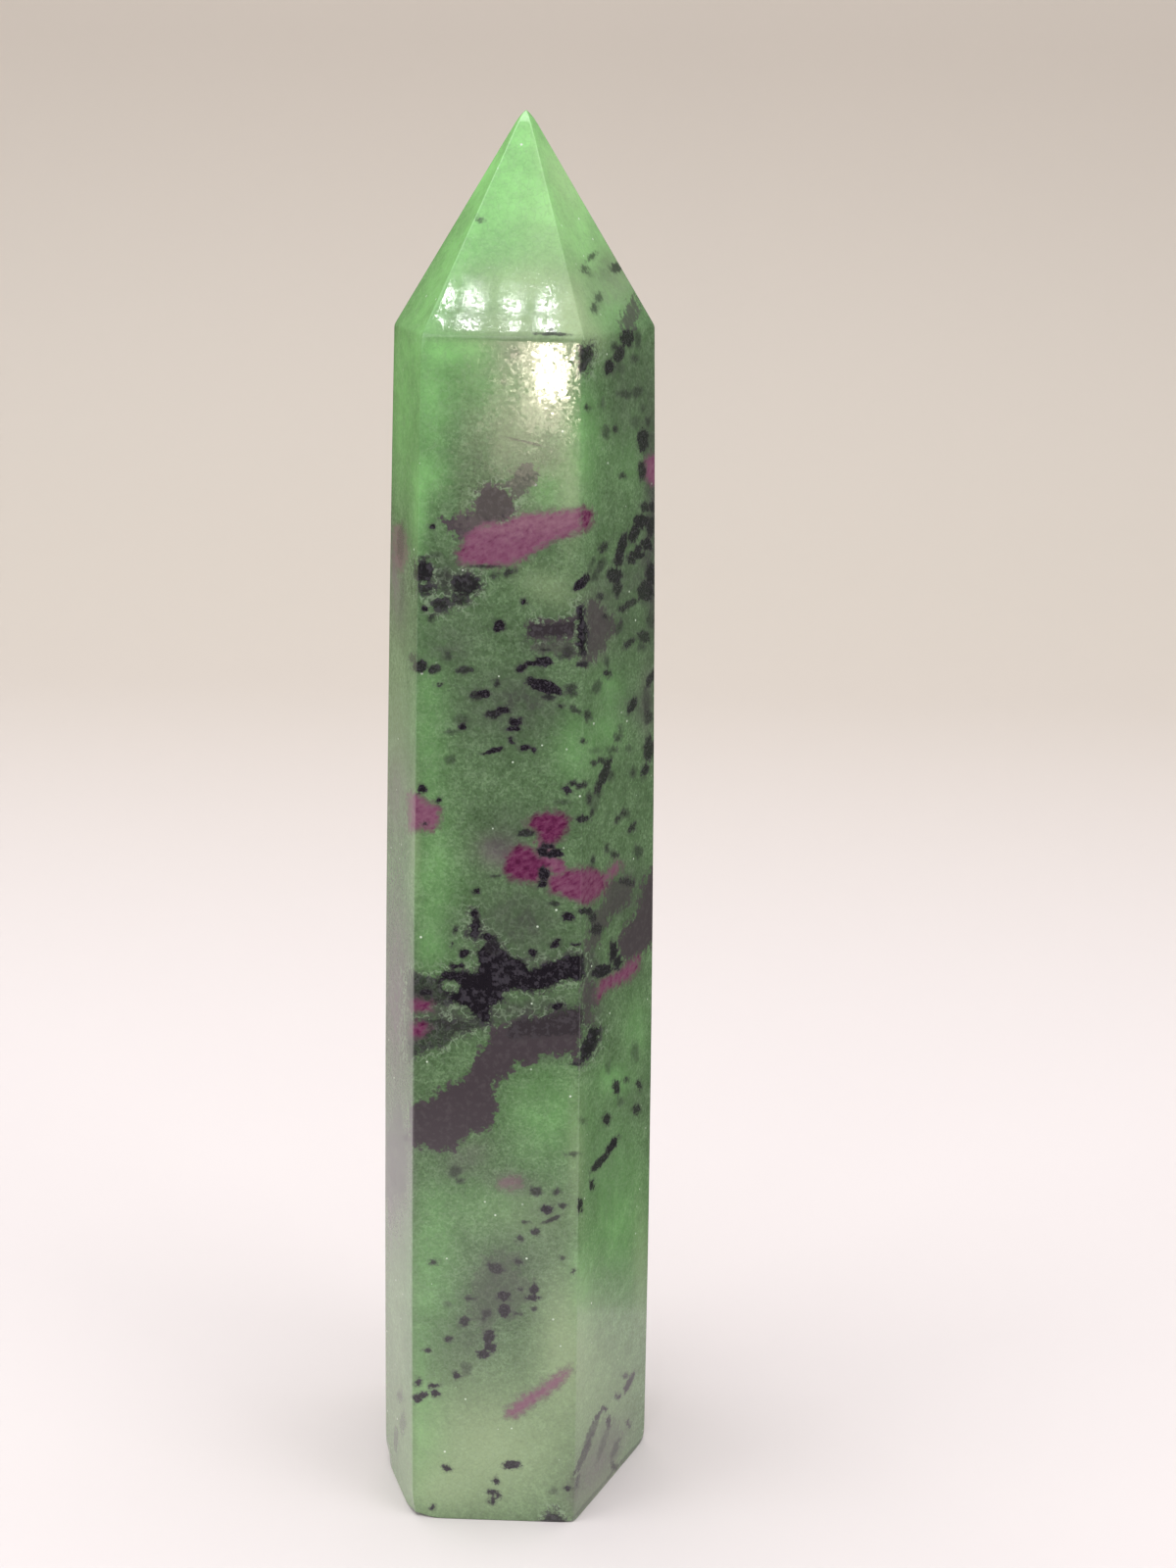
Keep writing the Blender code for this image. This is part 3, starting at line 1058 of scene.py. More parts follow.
@dataclass
class MineralMap:
    """Works out, from the marks, which mineral shows at each place of the skin, and where light and
    sheen are painted on.

    reach is how far from a body its depth is worked out. Each of the lens_waves, which make
    the lenses uneven, is a height, a length and a phase. Lengths are in millimetres.
    """

    form: TowerForm
    view: PhotoView
    scatter: Scatter
    reach: float = 3.0
    lens_waves: tuple[Point3, ...] = ((0.6, 5.2, 0.3), (0.5, 2.2, 1.1))
    hidden_tint: float = 0.35
    hidden_tint_length: float = 23.0
    # Painted light: the hidden sides' lit tint grows towards the tip, as a painted glow
    lit_tip: float = 0.5
    lit_tip_from: float = 118.0
    lit_tip_over: float = 20.0

    def body_field(self, mineral: Mineral, points: Array, seen: Array) -> tuple[Array, Array]:
        """Depth inside the nearest body of one mineral, and how strong that body is.

        Args:
            mineral: Which mineral.
            points: Skin points (n, 3).
            seen: Which points take the photograph's patches, and not the lenses (n,).

        Returns:
            Depths in millimetres, positive inside (n,), and strengths (n,).
        """
        depth = np.full(len(points), -self.reach)
        strength = np.zeros(len(points))
        pixels = self.view.pixels(points)
        margin = self.reach * PIXELS_PER_MM
        for body in PATCHES[mineral]:
            outline = np.array(body.outline, float)
            near = seen & (pixels > outline.min(0) - margin).all(1)
            near &= (pixels < outline.max(0) + margin).all(1)
            inside = body.inside(pixels[near]) / PIXELS_PER_MM
            nearer = inside > depth[near]
            depth[near] = np.where(nearer, inside, depth[near])
            strength[near] = np.where(nearer, body.strength, strength[near])
        uneven = sum(
            height * self.form.ripple(points, wave, phase)
            for height, wave, phase in self.lens_waves
        )
        for body in LENSES[mineral]:
            inside = np.where(seen, -self.reach, body.inside(points) + uneven)
            nearer = inside > depth
            depth = np.where(nearer, inside, depth)
            strength = np.where(nearer, body.strength, strength)
        return depth, strength

    def fields(self, points: Array, seen: Array) -> dict[str, Array]:
        """Everything that is stored once for each point.

        Args:
            points: Skin points (n, 3).
            seen: Which points lie on the sides in the photograph (n,).

        Returns:
            Attribute names with their values.
        """
        made = {}
        for mineral in Mineral:
            depth, strength = self.body_field(mineral, points, seen)
            made[mineral.value] = depth
            made[f"{mineral.value}_strength"] = strength
        green = made.pop(Mineral.GREEN.value)
        made.pop(f"{Mineral.GREEN.value}_strength")
        for mineral in (Mineral.BLACK, Mineral.GREY):
            made[mineral.value] = np.minimum(made[mineral.value], -green)
        pixels = self.view.pixels(points)
        tip = np.clip((points[:, 2] - self.lit_tip_from) / self.lit_tip_over, 0, 1)
        for number, tint in enumerate(Tint):
            total = sum(cloud.strength(pixels) for cloud in CLOUDS[tint])
            wave = self.form.ripple(points, self.hidden_tint_length, 1.0 + number)
            away = self.hidden_tint * np.clip(wave, 0, 1)
            # Painted light: a brighter, glowing tip on the hidden sides
            away += self.lit_tip * tip * (tint is Tint.LIT)
            made[tint.value] = np.where(seen, np.clip(total, 0, 1), away)
        return made

    def seen_grains(self) -> tuple[Array, Array, Array, Array]:
        """The photograph's specks as grains on the picture plane.

        Returns:
            Middles (n, 3), matrices that make each grain round (n, 3, 3), radii (n,) and
            darknesses (n,).
        """
        specks = UPPER_SPECKS + MIDDLE_SPECKS + VEIN_SPECKS + LOWER_SPECKS
        middle = np.array([(mark.x, mark.y, 0) for mark in specks]) / PIXELS_PER_MM
        half = np.array([(mark.width, mark.height) for mark in specks]) / PIXELS_PER_MM / 2
        turn = np.radians([mark.tilt for mark in specks])
        radius = np.sqrt(half[:, 0] * half[:, 1])
        rounder = np.zeros((len(specks), 3, 3))
        rounder[:, 0, 0] = np.cos(turn) * radius / half[:, 0]
        rounder[:, 0, 1] = -np.sin(turn) * radius / half[:, 0]
        rounder[:, 1, 0] = np.sin(turn) * radius / half[:, 1]
        rounder[:, 1, 1] = np.cos(turn) * radius / half[:, 1]
        return middle, rounder, radius, np.array([mark.dark for mark in specks])

    def hidden_grains(self) -> tuple[Array, Array, Array, Array]:
        """The strewn grains, in the stone's own frame.

        Returns:
            The same four arrays as for the seen grains.
        """
        middle, half, dark = self.scatter.grains(self.form)
        radius = np.cbrt(half.prod(axis=1))
        rounder = (radius[:, None] / half)[:, :, None] * LAYERS[None]
        return middle, rounder, radius, dark

    def nearest(self, corners: Array, grains: tuple[Array, ...]) -> dict[str, Array]:
        """For each face, the two grains nearest to its middle, as seen from its corners.

        Args:
            corners: Places of each face's corners (faces, corners, 3).
            grains: Middles, rounding matrices, radii and darknesses.

        Returns:
            Attribute names with values for each face corner: the offset from the grain's
            middle in a space where the grain is round, then its radius and darkness.
        """
        middle, rounder, radius, dark = grains
        centre = corners.mean(axis=1)
        best = np.full((2, len(centre)), np.inf)
        which = np.zeros((2, len(centre)), int)
        for number in range(len(middle)):
            offset = (centre - middle[number]) @ rounder[number].T
            gap = np.linalg.norm(offset, axis=1) - radius[number]
            first = gap < best[0]
            second = ~first & (gap < best[1])
            best[1] = np.where(first, best[0], np.where(second, gap, best[1]))
            which[1] = np.where(first, which[0], np.where(second, number, which[1]))
            best[0] = np.where(first, gap, best[0])
            which[0] = np.where(first, number, which[0])
        made = {}
        for pick, name in zip(which, GRAIN_NAMES):
            offset = corners - middle[pick][:, None]
            made[name] = np.einsum("fij,fcj->fci", rounder[pick], offset)
            kind = np.stack([radius[pick], dark[pick], 0 * dark[pick]], axis=1)
            made[f"{name}_kind"] = np.repeat(kind[:, None], corners.shape[1], axis=1)
        return made

    def grains(self, corners: Array, seen: Array) -> dict[str, Array]:
        """Everything that is stored for each face corner.

        Args:
            corners: Places of each face's corners (faces, corners, 3).
            seen: Which faces lie on the sides in the photograph (faces,).

        Returns:
            Attribute names with values (faces, corners, 3).
        """
        flat = corners[seen]
        plane = np.zeros_like(flat)
        plane[..., :2] = self.view.pixels(flat.reshape(-1, 3)).reshape(*flat.shape[:2], 2)
        here = self.nearest(plane / PIXELS_PER_MM, self.seen_grains())
        away = self.nearest(corners[~seen], self.hidden_grains())
        made = {}
        for name, values in here.items():
            made[name] = np.zeros((len(corners), *values.shape[1:]))
            made[name][seen] = values
            made[name][~seen] = away[name]
        return made


class Sheet:
    """Adds nodes to one node tree and joins them up."""

    def __init__(self, tree: Tree) -> None:
        """Take a tree and empty it."""
        self.tree = tree
        tree.nodes.clear()

    def node(self, kind: str, inputs: dict | None = None, **settings: object) -> Node:
        """Add a node.

        Args:
            kind: What follows ShaderNode in Blender's name for the node's type.
            inputs: Values or output sockets for its named or numbered inputs.
            settings: Values for its own settings.

        Returns:
            The node.
        """
        made = self.tree.nodes.new(f"ShaderNode{kind}")
        for name, value in settings.items():
            setattr(made, name, value)
        for name, value in (inputs or {}).items():
            self.feed(made.inputs[name], value)
        return made

    def feed(self, socket: Socket, value: object) -> None:
        """Link an output socket to an input, or set the input's value.

        Args:
            socket: The input.
            value: An output socket, a number or a colour.
        """
        if isinstance(value, Socket):
            self.tree.links.new(value, socket)
        elif socket.type == "RGBA":
            socket.default_value = (*value, 1.0)
        else:
            socket.default_value = value

    def calc(self, operation: str, *values: object, clamp: bool = False) -> Socket:
        """Add a sum, and give its result."""
        inputs = dict(enumerate(values))
        return self.node("Math", inputs, operation=operation, use_clamp=clamp).outputs[0]

    def weighted(self, *parts: tuple[Socket, float]) -> Socket:
        """Add up values, each times its own share.

        Args:
            parts: Each value with its share.

        Returns:
            The sum.
        """
        total = self.calc("MULTIPLY", *parts[0])
        for value, share in parts[1:]:
            total = self.calc("MULTIPLY_ADD", value, share, total)
        return total

    def vector(self, operation: str, *values: object) -> Socket:
        """Add a sum of vectors, and give the vector that results."""
        inputs = dict(enumerate(values))
        return self.node("VectorMath", inputs, operation=operation).outputs[0]

    def measure(self, operation: str, *values: object) -> Socket:
        """Add a sum of vectors, and give the number that results."""
        inputs = dict(enumerate(values))
        return self.node("VectorMath", inputs, operation=operation).outputs["Value"]

    def place(self) -> Socket:
        """The place on the object, in metres."""
        return self.node("TexCoord").outputs["Object"]

    def parts(self, vector: object) -> list[Socket]:
        """A vector's three parts."""
        return list(self.node("SeparateXYZ", {0: vector}).outputs)

    def cells(self, place: Socket, scale: float) -> tuple[Socket, Socket]:
        """A pattern of cells: the distance from each one's middle, and its chance colour."""
        made = self.node("TexVoronoi", {"Vector": place, "Scale": scale})
        return made.outputs["Distance"], made.outputs["Color"]

    def channel(self, colour: Socket, number: int) -> Socket:
        """One of a colour's three channels."""
        return self.node("SeparateColor", {0: colour}).outputs[number]

    def blend(self, amount: object, first: object, second: object) -> Socket:
        """Mix two colours, and give the result."""
        return self.node("Mix", {0: amount, 6: first, 7: second}, data_type="RGBA").outputs[2]

    def ramp(self, value: object, low: object, high: object) -> Socket:
        """A smooth step from 0 at low to 1 at high."""
        inputs = {"Value": value, "From Min": low, "From Max": high}
        return self.node("MapRange", inputs, interpolation_type="SMOOTHSTEP").outputs[0]

    def attribute(self, name: str, output: str = "Fac") -> Socket:
        """Read one of the skin's attributes."""
        return self.node("Attribute", attribute_name=name).outputs[output]

    def noise(self, place: object, scale: float, detail: float = 2.0) -> Socket:
        """A noise pattern, stretched so that it runs from 0 to 1."""
        inputs = {"Vector": place, "Scale": scale, "Detail": detail, "Roughness": NOISE_ROUGHNESS}
        return self.ramp(self.node("TexNoise", inputs).outputs[0], *NOISE_SPAN)

    def group(self, tree: Tree, **inputs: object) -> Socket:
        """Add a node group.

        Args:
            tree: The group's tree.
            inputs: Values or sockets for its named inputs.

        Returns:
            Its first output.
        """
        made = self.node("Group", node_tree=tree)
        for name, value in inputs.items():
            self.feed(made.inputs[name], value)
        return made.outputs[0]

    def show(self, shader: Node, kind: str = "Material") -> None:
        """Make a shader what the material, or the world, shows."""
        self.node(f"Output{kind}", {"Surface": shader.outputs[0]})


def new_material(name: str) -> tuple[bpy.types.Material, Sheet]:
    """Start a material.

    Args:
        name: Its name.

    Returns:
        The material, and the empty sheet of its nodes.
    """
    material = bpy.data.materials.new(name)
    material.use_nodes = True
    return material, Sheet(material.node_tree)


@dataclass(frozen=True)
class Edge:
    """How the rim of a mineral looks, in millimetres.

    ragged is how far noise moves the rim, soft how far it fades to each side, grown how far it
    reaches past the body, and share how much of the body's strength it has.
    """

    ragged: float
    soft: float
    grown: float = 0.0
    share: float = 1.0


@dataclass(frozen=True)
class EdgeMask:
    """Turns a depth in millimetres into a mask whose outline is ragged like grown crystals."""

    name: str = "ragged_mask"
    inputs: tuple[str, ...] = ("Depth", "Noise", "Strength", "Ragged", "Soft", "Grown", "Share")

    def build(self) -> Tree:
        """Build the group, which steps smoothly from 0 to 1 as the depth passes the rim.

        The depth is depth + grown + ragged * (noise - 0.5), the step reaches from -soft to
        soft, and it is multiplied by strength * share.

        Returns:
            The node group.
        """
        tree = bpy.data.node_groups.new(self.name, "ShaderNodeTree")
        for name in self.inputs:
            tree.interface.new_socket(name, in_out="INPUT", socket_type="NodeSocketFloat")
        tree.interface.new_socket("Mask", in_out="OUTPUT", socket_type="NodeSocketFloat")
        sheet = Sheet(tree)
        given = tree.nodes.new("NodeGroupInput").outputs
        result = tree.nodes.new("NodeGroupOutput").inputs
        depth = sheet.calc("ADD", given["Depth"], given["Grown"])
        shift = sheet.calc("SUBTRACT", given["Noise"], 0.5)
        depth = sheet.calc("MULTIPLY_ADD", shift, given["Ragged"], depth)
        low = sheet.calc("MULTIPLY", given["Soft"], -1.0)
        mask = sheet.ramp(depth, low, given["Soft"])
        strength = sheet.calc("MULTIPLY", given["Strength"], given["Share"])
        sheet.feed(result["Mask"], sheet.calc("MULTIPLY", mask, strength))
        return tree


class Paint:
    """The rock's colour, laid on in layers.

    place is in millimetres. The noises run from 0 to 1: fine is about as fine as the grain,
    lumps about half a millimetre, coarse a millimetre, and slow several millimetres.
    """

    def __init__(self, sheet: Sheet, ground: Colour) -> None:
        """Take a sheet, and make what the layers share.

        Args:
            sheet: Where the nodes go.
            ground: The colour under all the others.
        """
        self.sheet = sheet
        self.colour: object = ground
        self.mask = EdgeMask().build()
        self.place = sheet.vector("MULTIPLY", sheet.place(), (1 / MM,) * 3)
        self.fine = sheet.noise(self.place, 4.2)
        self.lumps = sheet.noise(self.place, 1.7)
        self.coarse = sheet.noise(self.place, 1.0, 3.0)
        self.slow = sheet.noise(self.place, 0.22)
        self.ragged = sheet.weighted((self.lumps, 0.75), (self.fine, 0.25))

    def blend(self, amount: object, tone: object) -> None:
        """Lay a colour over what is there."""
        self.colour = self.sheet.blend(amount, self.colour, tone)

    def lay(self, edge: Edge, tone: object, depth: Socket, noise: Socket, strength: Socket,
            soft: Socket | None = None) -> None:
        """Lay a colour over what is there, with a ragged rim.

        Args:
            edge: How the rim looks.
            tone: The colour.
            depth: How far inside its body a place lies, in millimetres.
            noise: The noise that makes the rim ragged.
            strength: How strong the body is.
            soft: How far the rim fades, where that changes over the surface.
        """
        mask = self.sheet.group(
            self.mask, Depth=depth, Noise=noise, Strength=strength, Ragged=edge.ragged,
            Soft=edge.soft if soft is None else soft, Grown=edge.grown, Share=edge.share,
        )
        self.blend(mask, tone)


@dataclass(frozen=True)
class Wash:
    """A tint over the green. Its amount is least + spread * noise, where it is full."""

    tint: Tint
    tone: Colour
    least: float
    spread: float


@dataclass(frozen=True)
class Threads:
    """Thin threads in the green. Between near's two depths they gather towards the black."""

    tone: Colour
    scale: float
    near: Point2
    gathered: float
    least: float = 0.10
    fade: Point2 = (0.15, 0.02)


@dataclass(frozen=True)
class ZoisiteFinish:
    """The polished rock: granular green zoisite with ruby, hornblende and grey patches, and some
    painted light and sheen in its tints.

    Scales are in cells or waves for each millimetre. Two numbers in brackets are where a
    smooth step starts and ends.
    """

    deep_green: Colour = (0.065, 0.115, 0.052)
    mid_green: Colour = (0.110, 0.190, 0.089)
    light_green: Colour = (0.192, 0.312, 0.158)
    dusk: Colour = (0.072, 0.072, 0.068)
    fleck: Colour = (0.75, 0.85, 0.70)
    fringe: Colour = (0.135, 0.085, 0.105)
    grey: Colour = (0.075, 0.060, 0.068)
    grey_light: Colour = (0.096, 0.080, 0.087)
    black: Colour = (0.016, 0.013, 0.018)
    black_light: Colour = (0.058, 0.052, 0.064)
    ruby_deep: Colour = (0.070, 0.010, 0.037)
    ruby: Colour = (0.160, 0.022, 0.089)
    ruby_pale: Colour = (0.305, 0.140, 0.210)
    washes: tuple[Wash, ...] = (
        # The lit and pale washes are partly painted light: brighter lit stone, a glowing tip,
        # painted sheen and painted floor reflections
        Wash(Tint.LIT, (0.305, 0.700, 0.230), 0.65, 0.35),
        Wash(Tint.PALE, (0.500, 0.640, 0.360), 0.70, 0.00),
        Wash(Tint.MAUVE, (0.230, 0.165, 0.200), 0.60, 0.50),
        Wash(Tint.DUSK, dusk, 0.50, 0.70),
    )
    threads: tuple[Threads, ...] = (
        Threads((0.38, 0.50, 0.34), 0.85, (-1.6, -0.2), 0.38),
        Threads(dusk, 1.30, (-1.1, -0.1), 0.70),
    )
    grain_scale: float = 4.4
    mosaic: tuple[float, ...] = (0.32, 0.22, 0.22, 0.24)
    dark_grains: Point2 = (0.10, 0.50)
    light_grains: Point2 = (0.45, 0.85)
    lit_scale: float = 0.45
    fleck_scale: float = 0.62
    fleck_size: Point2 = (0.085, 0.055)
    fleck_chance: Point2 = (0.5, 0.9)
    grey_edge: Edge = Edge(1.30, 0.30)
    grey_tones: Point2 = (0.45, 0.95)
    black_halo: Edge = Edge(0.90, 0.30, 0.22, 0.5)
    black_edge: Edge = Edge(0.70, 0.18)
    black_tones: Point2 = (0.45, 0.85)
    ruby_fringe: Edge = Edge(1.00, 0.50, 0.30, 0.6)
    ruby_edge: Edge = Edge(0.90, 0.46)
    ruby_cover: Point2 = (0.0, 0.7)
    ruby_tones: Point2 = (-0.1, 0.8)
    ruby_depths: Point2 = (1.3, 2.0)
    faint_ruby: float = 0.62
    streak_stretch: Point3 = (0.8, 1.0, 2.0)
    streak_scale: float = 1.3
    speck_halo: Edge = Edge(0.60, 0.26, 0.14, 0.6)
    speck_edge: Edge = Edge(0.55, 0.11)
    speck_fade: float = 0.30
    speck_tones: Point2 = (0.4, 1.0)
    ior: float = 1.62
    least_roughness: float = 0.03
    most_roughness: float = 0.11
    relief: float = 0.003
    relief_depth: float = 0.1
    glitter: float = 0.21
    glitter_scale: float = 3.8
    glitter_top: Point2 = (121.2, 120.4)
    dull_chance: Point2 = (0.4, 1.0)

    def build(self) -> bpy.types.Material:
        """Build the material.

        Returns:
            A material with one Principled BSDF.
        """
        material, sheet = new_material("ruby_in_zoisite")
        paint = Paint(sheet, self.deep_green)
        self.green(paint)
        self.lace(paint)
        self.bodies(paint)
        self.rubies(paint)
        self.specks(paint)
        rough, normal = self.polish(paint)
        sheet.show(sheet.node("BsdfPrincipled", {
            "Base Color": paint.colour, "Roughness": rough, "IOR": self.ior, "Normal": normal,
        }))
        return material

    def polish(self, paint: Paint) -> tuple[Socket, Socket]:
        """Work out the roughness and the normal.

        Some grains are a little duller than others. On the column each one leans by
        glitter * (chance - 0.5)^5, so that a few of them catch the light.

        Args:
            paint: The rock's paint.

        Returns:
            The roughness and the normal.
        """
        sheet = paint.sheet
        bump = sheet.node("Bump", {
            "Strength": self.relief, "Distance": self.relief_depth * MM,
            "Height": sheet.weighted((paint.fine, 1.0), (paint.coarse, 0.6)),
        })
        chance = sheet.cells(paint.place, self.glitter_scale)[1]
        dull = sheet.ramp(sheet.channel(chance, 1), *self.dull_chance)
        spread = self.most_roughness - self.least_roughness
        rough = sheet.calc("MULTIPLY_ADD", dull, spread, self.least_roughness)
        lean = sheet.vector("SUBTRACT", chance, (0.5,) * 3)
        square = sheet.vector("MULTIPLY", lean, lean)
        lean = sheet.vector("MULTIPLY", lean, sheet.vector("MULTIPLY", square, square))
        column = sheet.ramp(sheet.parts(paint.place)[2], *self.glitter_top)
        lean = sheet.vector("MULTIPLY", lean, sheet.calc("MULTIPLY", column, self.glitter))
        return rough, sheet.vector("NORMALIZE", sheet.vector("ADD", bump.outputs[0], lean))

    def green(self, paint: Paint) -> None:
        """Colour the zoisite: a mosaic of grains, the soft tints over it, partly painted light and
        sheen, and pale flecks.

        Args:
            paint: The rock's paint.
        """
        sheet = paint.sheet
        grain = sheet.channel(sheet.cells(paint.place, self.grain_scale)[1], 0)
        patterns = (grain, paint.fine, paint.coarse, paint.slow)
        mosaic = sheet.weighted(*zip(patterns, self.mosaic))
        paint.blend(sheet.ramp(mosaic, *self.dark_grains), self.mid_green)
        paint.blend(sheet.ramp(mosaic, *self.light_grains), self.light_green)
        broad = {Tint.LIT: sheet.noise(paint.place, self.lit_scale, 3.0)}
        # The lit and pale washes lay painted light and painted sheen over the green
        for wash in self.washes:
            pattern = broad.get(wash.tint, paint.coarse)
            amount = sheet.calc("MULTIPLY_ADD", pattern, wash.spread, wash.least)
            full = sheet.attribute(wash.tint.value)
            paint.blend(sheet.calc("MULTIPLY", full, amount, clamp=True), wash.tone)
        away, chance = sheet.cells(paint.place, self.fleck_scale)
        small = sheet.ramp(away, *self.fleck_size)
        lucky = sheet.ramp(sheet.channel(chance, 2), *self.fleck_chance)
        paint.blend(sheet.calc("MULTIPLY", small, lucky), self.fleck)

    def lace(self, paint: Paint) -> None:
        """Draw pale and dark threads, each where a noise is close to its middle value.

        Args:
            paint: The rock's paint.
        """
        sheet = paint.sheet
        for threads in self.threads:
            near = sheet.ramp(sheet.attribute(Mineral.BLACK.value), *threads.near)
            amount = sheet.calc("MULTIPLY_ADD", near, threads.gathered, threads.least)
            offset = sheet.calc("SUBTRACT", sheet.noise(paint.place, threads.scale), 0.5)
            line = sheet.ramp(sheet.calc("ABSOLUTE", offset), *threads.fade)
            paint.blend(sheet.calc("MULTIPLY", line, amount), threads.tone)

    def bodies(self, paint: Paint) -> None:
        """Lay the grey patches over the green, then the black ones with their dusky halo.

        Args:
            paint: The rock's paint.
        """
        sheet, ragged = paint.sheet, paint.ragged
        tone = sheet.blend(sheet.ramp(ragged, *self.grey_tones), self.grey, self.grey_light)
        depth = sheet.attribute(Mineral.GREY.value)
        paint.lay(self.grey_edge, tone, depth, ragged, sheet.attribute("grey_strength"))
        depth, strength = sheet.attribute(Mineral.BLACK.value), sheet.attribute("black_strength")
        paint.lay(self.black_halo, self.dusk, depth, ragged, strength)
        tone = sheet.blend(sheet.ramp(ragged, *self.black_tones), self.black, self.black_light)
        paint.lay(self.black_edge, tone, depth, ragged, strength)

    def rubies(self, paint: Paint) -> None:
        """Lay the ruby over the rest: a dusky fringe, then crystals streaked along the layers.

        Args:
            paint: The rock's paint.
        """
        sheet = paint.sheet
        layered = sheet.node("CombineXYZ", {
            axis: sheet.measure("DOT_PRODUCT", paint.place, tuple(way * stretch))
            for axis, (way, stretch) in enumerate(zip(LAYERS, self.streak_stretch))
        })
        streak = sheet.noise(layered.outputs[0], self.streak_scale, 4.0)
        frayed = sheet.weighted((paint.ragged, 0.5), (streak, 0.5))
        depth, strength = sheet.attribute(Mineral.RUBY.value), sheet.attribute("ruby_strength")
        cover = sheet.ramp(strength, *self.ruby_cover)
        paint.lay(self.ruby_fringe, self.fringe, depth, paint.ragged, cover)
        above = sheet.calc("SUBTRACT", strength, self.faint_ruby)
        rich = sheet.calc("MULTIPLY_ADD", frayed, 0.5, above)
        tone = sheet.blend(sheet.ramp(rich, *self.ruby_tones), self.ruby_pale, self.ruby)
        deep = sheet.ramp(sheet.calc("ADD", strength, frayed), *self.ruby_depths)
        tone = sheet.blend(deep, tone, self.ruby_deep)
        paint.lay(self.ruby_edge, tone, depth, frayed, cover)

    def specks(self, paint: Paint) -> None:
        """Lay the small dark grains over the rest, each in a thin dusky halo.

        Args:
            paint: The rock's paint.
        """
        sheet = paint.sheet
        lumpy = sheet.weighted((paint.lumps, 0.65), (paint.fine, 0.35))
        tone = sheet.blend(
            sheet.ramp(paint.fine, *self.speck_tones), self.black, self.black_light
        )
        for name in reversed(GRAIN_NAMES):
            radius, dark, _ = sheet.parts(sheet.attribute(f"{name}_kind", "Vector"))
            away = sheet.measure("LENGTH", sheet.attribute(name, "Vector"))
            depth = sheet.calc("SUBTRACT", radius, away)
            paint.lay(self.speck_halo, self.dusk, depth, lumpy, dark)
            faint = sheet.calc("SUBTRACT", 1.0, dark)
            soft = sheet.calc("MULTIPLY_ADD", faint, self.speck_fade, self.speck_edge.soft)
            paint.lay(self.speck_edge, tone, depth, lumpy, dark, soft)


@dataclass
class Tower:
    """The stone: its skin, and the minerals that show on it."""

    form: TowerForm
    grid: SkinGrid
    minerals: MineralMap
    finish: ZoisiteFinish

    def build(self) -> bpy.types.Object:
        """Make the skin's mesh.

        Returns:
            The skin as an object at the origin.
        """
        grid_points, base_pole, tip_pole = self.grid.points()
        rows, columns = grid_points.shape[:2]
        points = np.concatenate([grid_points.reshape(-1, 3), [base_pole, tip_pole]])
        points[:, 2] -= points[:, 2].min()
        quads, fans = self.grid.faces(rows, columns)
        mesh = new_mesh("tower_skin", points, quads.tolist() + fans.tolist())
        mesh.shade_smooth()
        self.mark(mesh, points, quads, fans, rows)
        log.info("skin: %d triangles, box %s to %s mm", 2 * len(quads) + len(fans),
                 points.min(0).round(3), points.max(0).round(3))
        return linked(mesh.name, mesh)

    def mark(self, mesh: bpy.types.Mesh, points: Array, quads: Array, fans: Array,
             rows: int) -> None:
        """Store the minerals on the mesh as attributes.

        Args:
            mesh: The skin's mesh.
            points: Its points in millimetres (n, 3).
            quads: Its four-cornered faces.
            fans: Its three-cornered faces, at the poles.
            rows: Number of rows in the grid.
        """
        owner = self.grid.columns()[1]
        front = np.isin(owner, [side.value for side in SEEN_SIDES])
        raised = np.arange(rows) >= self.grid.base_rows + self.grid.rim_rows
        seen_cells = (raised[:-1, None] & front[None]).ravel()
        seen_points = np.concatenate([(raised[:, None] & front[None]).ravel(), [False, True]])
        for name, values in self.minerals.fields(points, seen_points).items():
            attribute = mesh.attributes.new(name, "FLOAT", "POINT")
            attribute.data.foreach_set("value", values.astype(np.float32))
        on_quads = self.minerals.grains(points[quads], seen_cells)
        on_fans = self.minerals.grains(points[fans], np.concatenate([0 * front, front]) > 0)
        for name, values in on_quads.items():
            attribute = mesh.attributes.new(name, "FLOAT_VECTOR", "CORNER")
            every = np.concatenate([values.reshape(-1, 3), on_fans[name].reshape(-1, 3)])
            attribute.data.foreach_set("vector", every.astype(np.float32).ravel())

    def dress(self, skin: bpy.types.Object) -> None:
        """Give the skin its material, and enter it in the frame.

        Args:
            skin: The skin's object.
        """
        skin.data.materials.append(self.finish.build())
        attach(skin, "root")
        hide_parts(NODE)


@dataclass(frozen=True)
class Lamp:
    """A rectangular soft light. glow is its radiance, where 1 shows as white."""

    name: str
    at: Point3
    aim: Point3
    size: Point2
    glow: float
    tint: Colour = (1.0, 1.0, 1.0)

    def build(self) -> None:
        """Add the light."""
        data = bpy.data.lights.new(self.name, "AREA")
        data.shape = "RECTANGLE"
        data.size, data.size_y = self.size[0] * MM, self.size[1] * MM
        data.energy = self.glow * math.pi * data.size * data.size_y
        data.color = self.tint
        forward = np.array(self.aim) - np.array(self.at)
        forward /= np.linalg.norm(forward)
        steep = abs(forward[2]) >= STEEP
        side = np.cross(forward, (0.0, 1.0, 0.0) if steep else (0.0, 0.0, 1.0))
        side /= np.linalg.norm(side)
        stand = looking(self.at, side, np.cross(side, forward), forward)
        linked(self.name, data).matrix_world = stand


